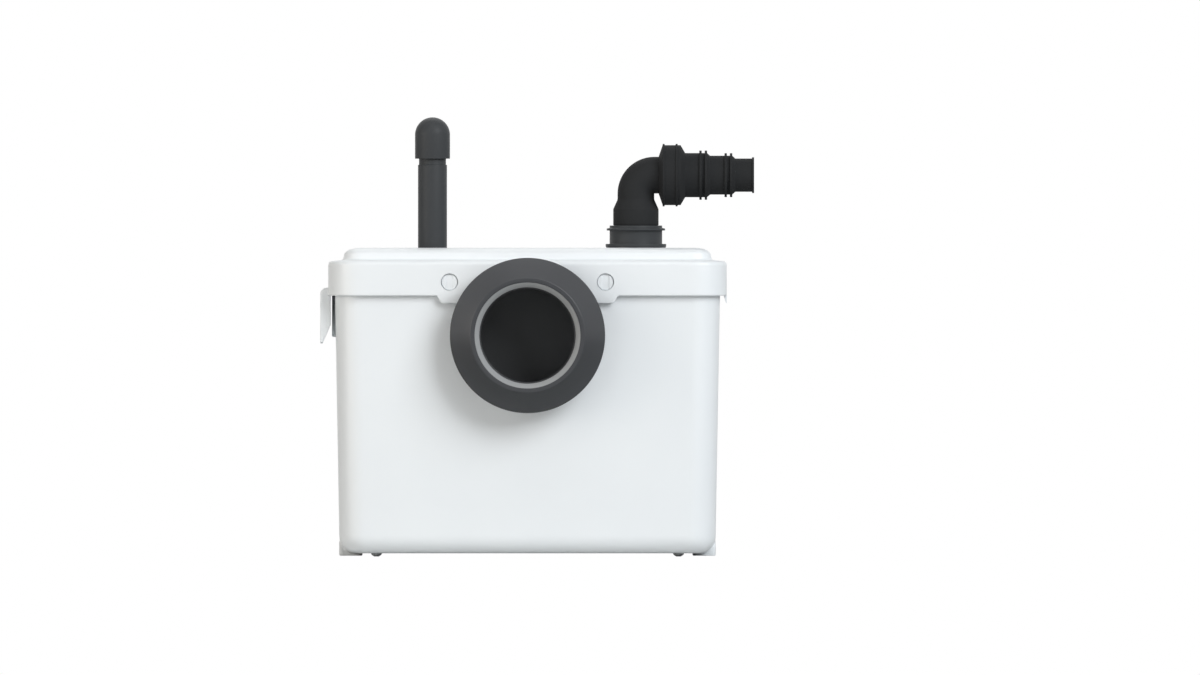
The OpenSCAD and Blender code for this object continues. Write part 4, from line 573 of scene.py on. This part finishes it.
# Charcoal foam: open cells that swallow the light, drawn coarse enough to show.
charcoal = moulded("open_charcoal_foam", "#1C1D1F", "#151617", 0.9, 1.5, 0.5, specular=0.2)
dress(charcoal, "charcoal_filter")
dress(black_polypropylene, "vent_nut")
VENT, VENT_R, VENT_BORE, VENT_LOW = (-95.0, 20.0), 14.5, 11.7, 291.7
SPIGOT_R, SPIGOT_LOW, SPIGOT_TOP = 13.5, 391.5, 411.8
CAP_R, CAP_BORE, CAP_MOUTH, CAP_LOW, CAP_DOME = 17.5, 15.3, 14.6, 397.8, 421.7
vent = [
    (VENT_BORE, VENT_LOW), (VENT_R, VENT_LOW), (VENT_R, SPIGOT_LOW), (SPIGOT_R, SPIGOT_LOW + 0.4),
    (SPIGOT_R, SPIGOT_TOP), (VENT_BORE, SPIGOT_TOP),
]
vent_rings = spin(rounded(vent, [0.3, 0.3, 0.5, 0.3, 0.4, 0.3]), "z", VENT, 96)
vent_pipe = black_piece("vent_tube", vent_rings, "lid")
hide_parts("vent_pipe")
dome = np.linspace(0, math.pi / 2, 25)
over = np.column_stack([np.cos(dome), np.sin(dome)])
cap_foot = [
    (CAP_BORE, CAP_LOW + 0.6), (CAP_MOUTH, CAP_LOW), (CAP_R - 0.3, CAP_LOW), (CAP_R, CAP_LOW + 0.3),
    (CAP_R, CAP_DOME), (CAP_BORE, CAP_DOME),
]
cap = np.vstack([
    rounded(cap_foot, 0.15, 3)[:12], CAP_R * over + [0, CAP_DOME], CAP_BORE * over[::-1] + [0, CAP_DOME],
])
vent_cap = black_piece("vent_dome", spin(cap, "z", VENT, 96), "vent_hood")
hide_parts("vent_cap")


# Outlet collar: a flanged socket of moulded black polypropylene in the lid, held by a nut underneath. The
# elbow turns in it.
dress(black_polypropylene, "collar_nut")
OUTLET = (108.4, 32.0)
TAIL_BORE, TAIL_STEP, TAIL_R, TAIL_LOW = 15.3, 16.3, 22.0, 284.6
SEAT_R, SEAT_LOW, SEAT_TOP, SOCKET_R, SOCKET_BORE = 30.3, 309.6, 312.6, 26.3, 22.1
BAND_R, BAND_LOW, BAND_TOP, SOCKET_TOP, SOCKET_FLOOR, TAIL_TOP = 29.2, 326.0, 328.0, 331.0, 310.6, 301.6
socket = [
    (TAIL_BORE, TAIL_TOP), (TAIL_STEP, TAIL_TOP), (TAIL_STEP, TAIL_LOW), (TAIL_R, TAIL_LOW),
    (TAIL_R, SEAT_LOW), (SEAT_R, SEAT_LOW), (SEAT_R, SEAT_TOP), (SOCKET_R, SEAT_TOP),
    (SOCKET_R, BAND_LOW), (BAND_R, BAND_LOW), (BAND_R, BAND_TOP), (SOCKET_R, BAND_TOP + 0.6),
    (SOCKET_R, SOCKET_TOP), (SOCKET_BORE, SOCKET_TOP), (SOCKET_BORE, SOCKET_FLOOR),
    (TAIL_BORE, SOCKET_FLOOR),
]
socket_rings = spin(rounded(socket, 0.45, 4), "z", OUTLET, 96)
outlet_collar = black_piece("outlet_socket", socket_rings, "lid")
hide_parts("outlet_collar")


# Elbow: a moulding of black polyamide that swivels in the collar's socket, tapers above it and bends level
# towards the outlet.
# Matt black polyamide: darker than the vent's pipe, with hardly a highlight.
black_polyamide = moulded("black_polyamide", "#303132", "#2D2E2F", 0.62, 1.2, 0.015, specular=0.04)
RUN_HEIGHT, BEND_R, TUBE_R, BORE_R, RUN_LENGTH = 381.35, 18.5, 18.35, 15.3, 10.0
STAND_R, STAND_LOW, TAPER_LOW, TAPER_TOP, BEND_LOW = 22.7, 331.2, 347.3, 357.0, 362.6
SPIGOT_FOOT, SPIGOT_CHAMFER = 311.6, 3.0


def sweep(path, heading, radius, steps=72):
    """Circles carried along a path in an upright plane: each lies across the path's heading there, with the
    given radius. heading is the angle from upright towards x."""
    angle = np.linspace(0, 2 * math.pi, steps, endpoint=False)
    ring = np.asarray(radius, float)[:, None] * np.cos(angle)
    level = np.asarray(radius, float)[:, None] * np.sin(angle)
    x = path[:, :1] + ring * np.cos(heading)[:, None]
    z = path[:, 1:] - ring * np.sin(heading)[:, None]
    return np.stack([x, OUTLET[1] + level, z], axis=-1)


stand = [
    (0, STAND_LOW), (STAND_R, STAND_LOW), (STAND_R, TAPER_LOW), (TUBE_R, TAPER_TOP), (TUBE_R, BEND_LOW),
    (0, BEND_LOW),
]
stand = rounded(stand, [0, 0.5, 2.0, 6.0, 0, 0], 7)
stand = stand[(stand[:, 0] > 1) & (stand[:, 1] < BEND_LOW - 0.1)]
spigot = np.array([(TAIL_R - SPIGOT_CHAMFER, SPIGOT_FOOT), (TAIL_R, SPIGOT_FOOT + 0.6), (TAIL_R, SOCKET_TOP)])
upright = np.vstack([spigot, stand])
turn = np.linspace(0, math.pi / 2, 25)
bend_path = np.column_stack([
    OUTLET[0] + BEND_R * (1 - np.cos(turn)), RUN_HEIGHT - BEND_R + BEND_R * np.sin(turn),
])
run_end = OUTLET[0] + BEND_R + RUN_LENGTH
elbow_path = np.vstack([
    np.column_stack([np.full(len(upright), OUTLET[0]), upright[:, 1]]), bend_path,
    [(run_end - RUN_LENGTH / 2, RUN_HEIGHT), (run_end, RUN_HEIGHT), (run_end, RUN_HEIGHT)],
    bend_path[::-1], [(OUTLET[0], SPIGOT_FOOT)],
])
elbow_heading = np.hstack([0 * upright[:, 0], turn, [math.pi / 2] * 3, turn[::-1], [0]])
elbow_radius = np.hstack([
    upright[:, 0], TUBE_R + 0 * turn, [TUBE_R, TUBE_R, BORE_R], BORE_R + 0 * turn, [BORE_R],
])
elbow_rings = sweep(elbow_path, elbow_heading, elbow_radius)
elbow = make_piece("elbow_bend", elbow_rings, "elbow", black_polyamide, "black_plastic", loop=True)
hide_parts("discharge_elbow")


# Outlet adapter: a stepped sleeve of moulded black rubber, pushed on the elbow. Its wide chamber holds the
# non-return flap, and its ribbed steps fit three pipe sizes.
# Nitrile rubber with carbon black: deep black and dull.
nitrile_rubber = moulded("black_nitrile_rubber", "#2E2F30", "#2B2C2D", 0.68, 0.9, 0.02, specular=0.04)
dress(rolled_steel, "valve_pin")
dress(black_rubber, "valve_flap")
CHAMBER_R, CHAMBER_BORE, RING_UP, RING_W = 30.0, 26.6, 1.3, 2.0
STEP_R, STEP_BORE, STEP_END, END_LIP = (22.1, 19.45, 16.65), (19.45, 16.8, 14.0), (71.2, 96.4, 118.2), 17.95
RIB_UP, RIB_W, RIB_PITCH, STEP_SLOPE = 2.55, 2.4, 5.4, 3.0
CHAMBER_FROM, CHAMBER_TO, STEP_FROM, SLEEVE_R = 26.7, 44.7, 49.3, TUBE_R + 0.05
SLEEVE_SLOPE, RING_BACK, CHAMBER_BACK, CHAMBER_FRONT = 4.0, 3.0, 1.8, 1.0


def ridge(radius, start, up, width):
    """A square ridge round a step: outline points up, along and down."""
    return [(radius + out, start + on) for out, on in ((0, 0), (up, 0), (up, width), (0, width))]


adapter = np.array([
    (SLEEVE_R, CHAMBER_FROM - SLEEVE_SLOPE), *ridge(CHAMBER_R, CHAMBER_FROM, RING_UP, RING_W),
    *ridge(CHAMBER_R, CHAMBER_TO - RING_BACK - RING_W, RING_UP, RING_W), (CHAMBER_R, CHAMBER_TO),
    (STEP_R[0], STEP_FROM),
    *ridge(STEP_R[0], STEP_END[0] - RIB_W - RIB_PITCH, RIB_UP, RIB_W),
    *ridge(STEP_R[0], STEP_END[0] - RIB_W, RIB_UP, RIB_W), (STEP_R[1], STEP_END[0] + STEP_SLOPE),
    *ridge(STEP_R[1], STEP_END[1] - RIB_W - RIB_PITCH, RIB_UP, RIB_W),
    *ridge(STEP_R[1], STEP_END[1] - RIB_W, RIB_UP, RIB_W), (STEP_R[2], STEP_END[1] + STEP_SLOPE),
    (STEP_R[2], STEP_END[2] - RING_W), (END_LIP, STEP_END[2] - RING_W), (END_LIP, STEP_END[2]),
    (STEP_BORE[2], STEP_END[2]), (STEP_BORE[2], STEP_END[1] + STEP_SLOPE), (STEP_BORE[1], STEP_END[1]),
    (STEP_BORE[1], STEP_END[0] + STEP_SLOPE), (STEP_BORE[0], STEP_END[0]), (STEP_BORE[0], STEP_FROM),
    (CHAMBER_BORE, CHAMBER_TO - CHAMBER_FRONT), (CHAMBER_BORE, CHAMBER_FROM + CHAMBER_BACK),
    (SLEEVE_R, CHAMBER_FROM + CHAMBER_BACK),
])
adapter[:, 1] += OUTLET[0]
sleeve_rings = spin(rounded(adapter, 0.4, 4), "x", (OUTLET[1], RUN_HEIGHT), 96)
outlet_adapter = make_piece(
    "stepped_sleeve", sleeve_rings, "elbow", nitrile_rubber, "black_rubber", loop=True
)
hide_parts("outlet_adapter")


# Stage: a plain pale floor and a white surround. The surround is white to the camera and in mirrored light,
# and gives only a little light of its own.
floor_mesh = bpy.data.meshes.new("floor")
floor_mesh.from_pydata([(-4, -4, 0), (4, -4, 0), (4, 4, 0), (-4, 4, 0)], [], [(0, 1, 2, 3)])
pale_floor = bpy.data.materials.new("pale_floor")
pale_floor.use_nodes = True
floor_shader = pale_floor.node_tree.nodes["Principled BSDF"]
floor_shader.inputs["Base Color"].default_value = linear("#D8D9D8")
floor_shader.inputs["Roughness"].default_value = 0.9
floor_mesh.materials.append(pale_floor)
floor_piece = bpy.data.objects.new("floor", floor_mesh)
bpy.context.scene.collection.objects.link(floor_piece)

world = bpy.data.worlds.new("white_surround")
world.use_nodes = True
bpy.context.scene.world = world
sky = world.node_tree
seen = add(sky, "LightPath").outputs
either = {"operation": "MAXIMUM"}
direct = add(sky, "Math", either, {0: seen["Is Camera Ray"], 1: seen["Is Transmission Ray"]})
shown = add(sky, "Math", either, {0: direct.outputs[0], 1: seen["Is Glossy Ray"]})
backdrop = add(sky, "Background", {"Color": linear("#FFFFFF"), "Strength": 1.0})
room = add(sky, "Background", {"Color": linear("#F4F6F8"), "Strength": 0.06})
both = add(sky, "MixShader", {}, {0: shown.outputs[0], 1: room.outputs[0], 2: backdrop.outputs[0]})
sky.links.new(both.outputs[0], sky.nodes["World Output"].inputs["Surface"])

# Lamps: soft boxes turned to the part's middle, with the key lamp up on the right. Places and sizes are in
# metres, power in watts.
PART_MIDDLE = np.array([0.0, 0.0, 0.2])
for name, place, size, power, tint in (
    ("key_lamp", (2.34, -3.15, 2.4), 2.4, 145.0, "#FBFDFF"),
    ("front_left_lamp", (-2.24, -3.8, 1.09), 2.0, 14.0, "#FFFFFF"),
    ("left_lamp", (-1.95, -1.12, 0.59), 1.2, 14.5, "#FFF6EA"),
    ("top_lamp", (0.0, -1.5, 2.8), 2.0, 14.0, "#FFFFFF"),
    ("back_lamp", (0.0, 1.8, 2.6), 2.0, 14.0, "#FFFFFF"),
):
    lamp = bpy.data.lights.new(name, "AREA")
    lamp.size, lamp.energy, lamp.color = size, power, linear(tint)[:3]
    lamp_piece = bpy.data.objects.new(name, lamp)
    aim = PART_MIDDLE - place
    flat = math.hypot(aim[0], aim[1])
    lamp_piece.location = place
    lamp_piece.rotation_euler = (math.atan2(flat, -aim[2]), 0, math.atan2(aim[1], aim[0]) - math.pi / 2)
    bpy.context.scene.collection.objects.link(lamp_piece)

# Camera: level, straight at the front, without perspective, so that a millimetre is a pixel of the 1200 pixel
# frame.
camera = bpy.data.cameras.new("camera")
camera.type, camera.ortho_scale = "ORTHO", 1.2
camera_piece = bpy.data.objects.new("camera", camera)
camera_piece.location = (0.0725, -2.5, 0.219)
camera_piece.rotation_euler = (math.pi / 2, 0, 0)
bpy.context.scene.collection.objects.link(camera_piece)
bpy.context.scene.camera = camera_piece
bpy.context.scene.view_settings.view_transform = "Standard"
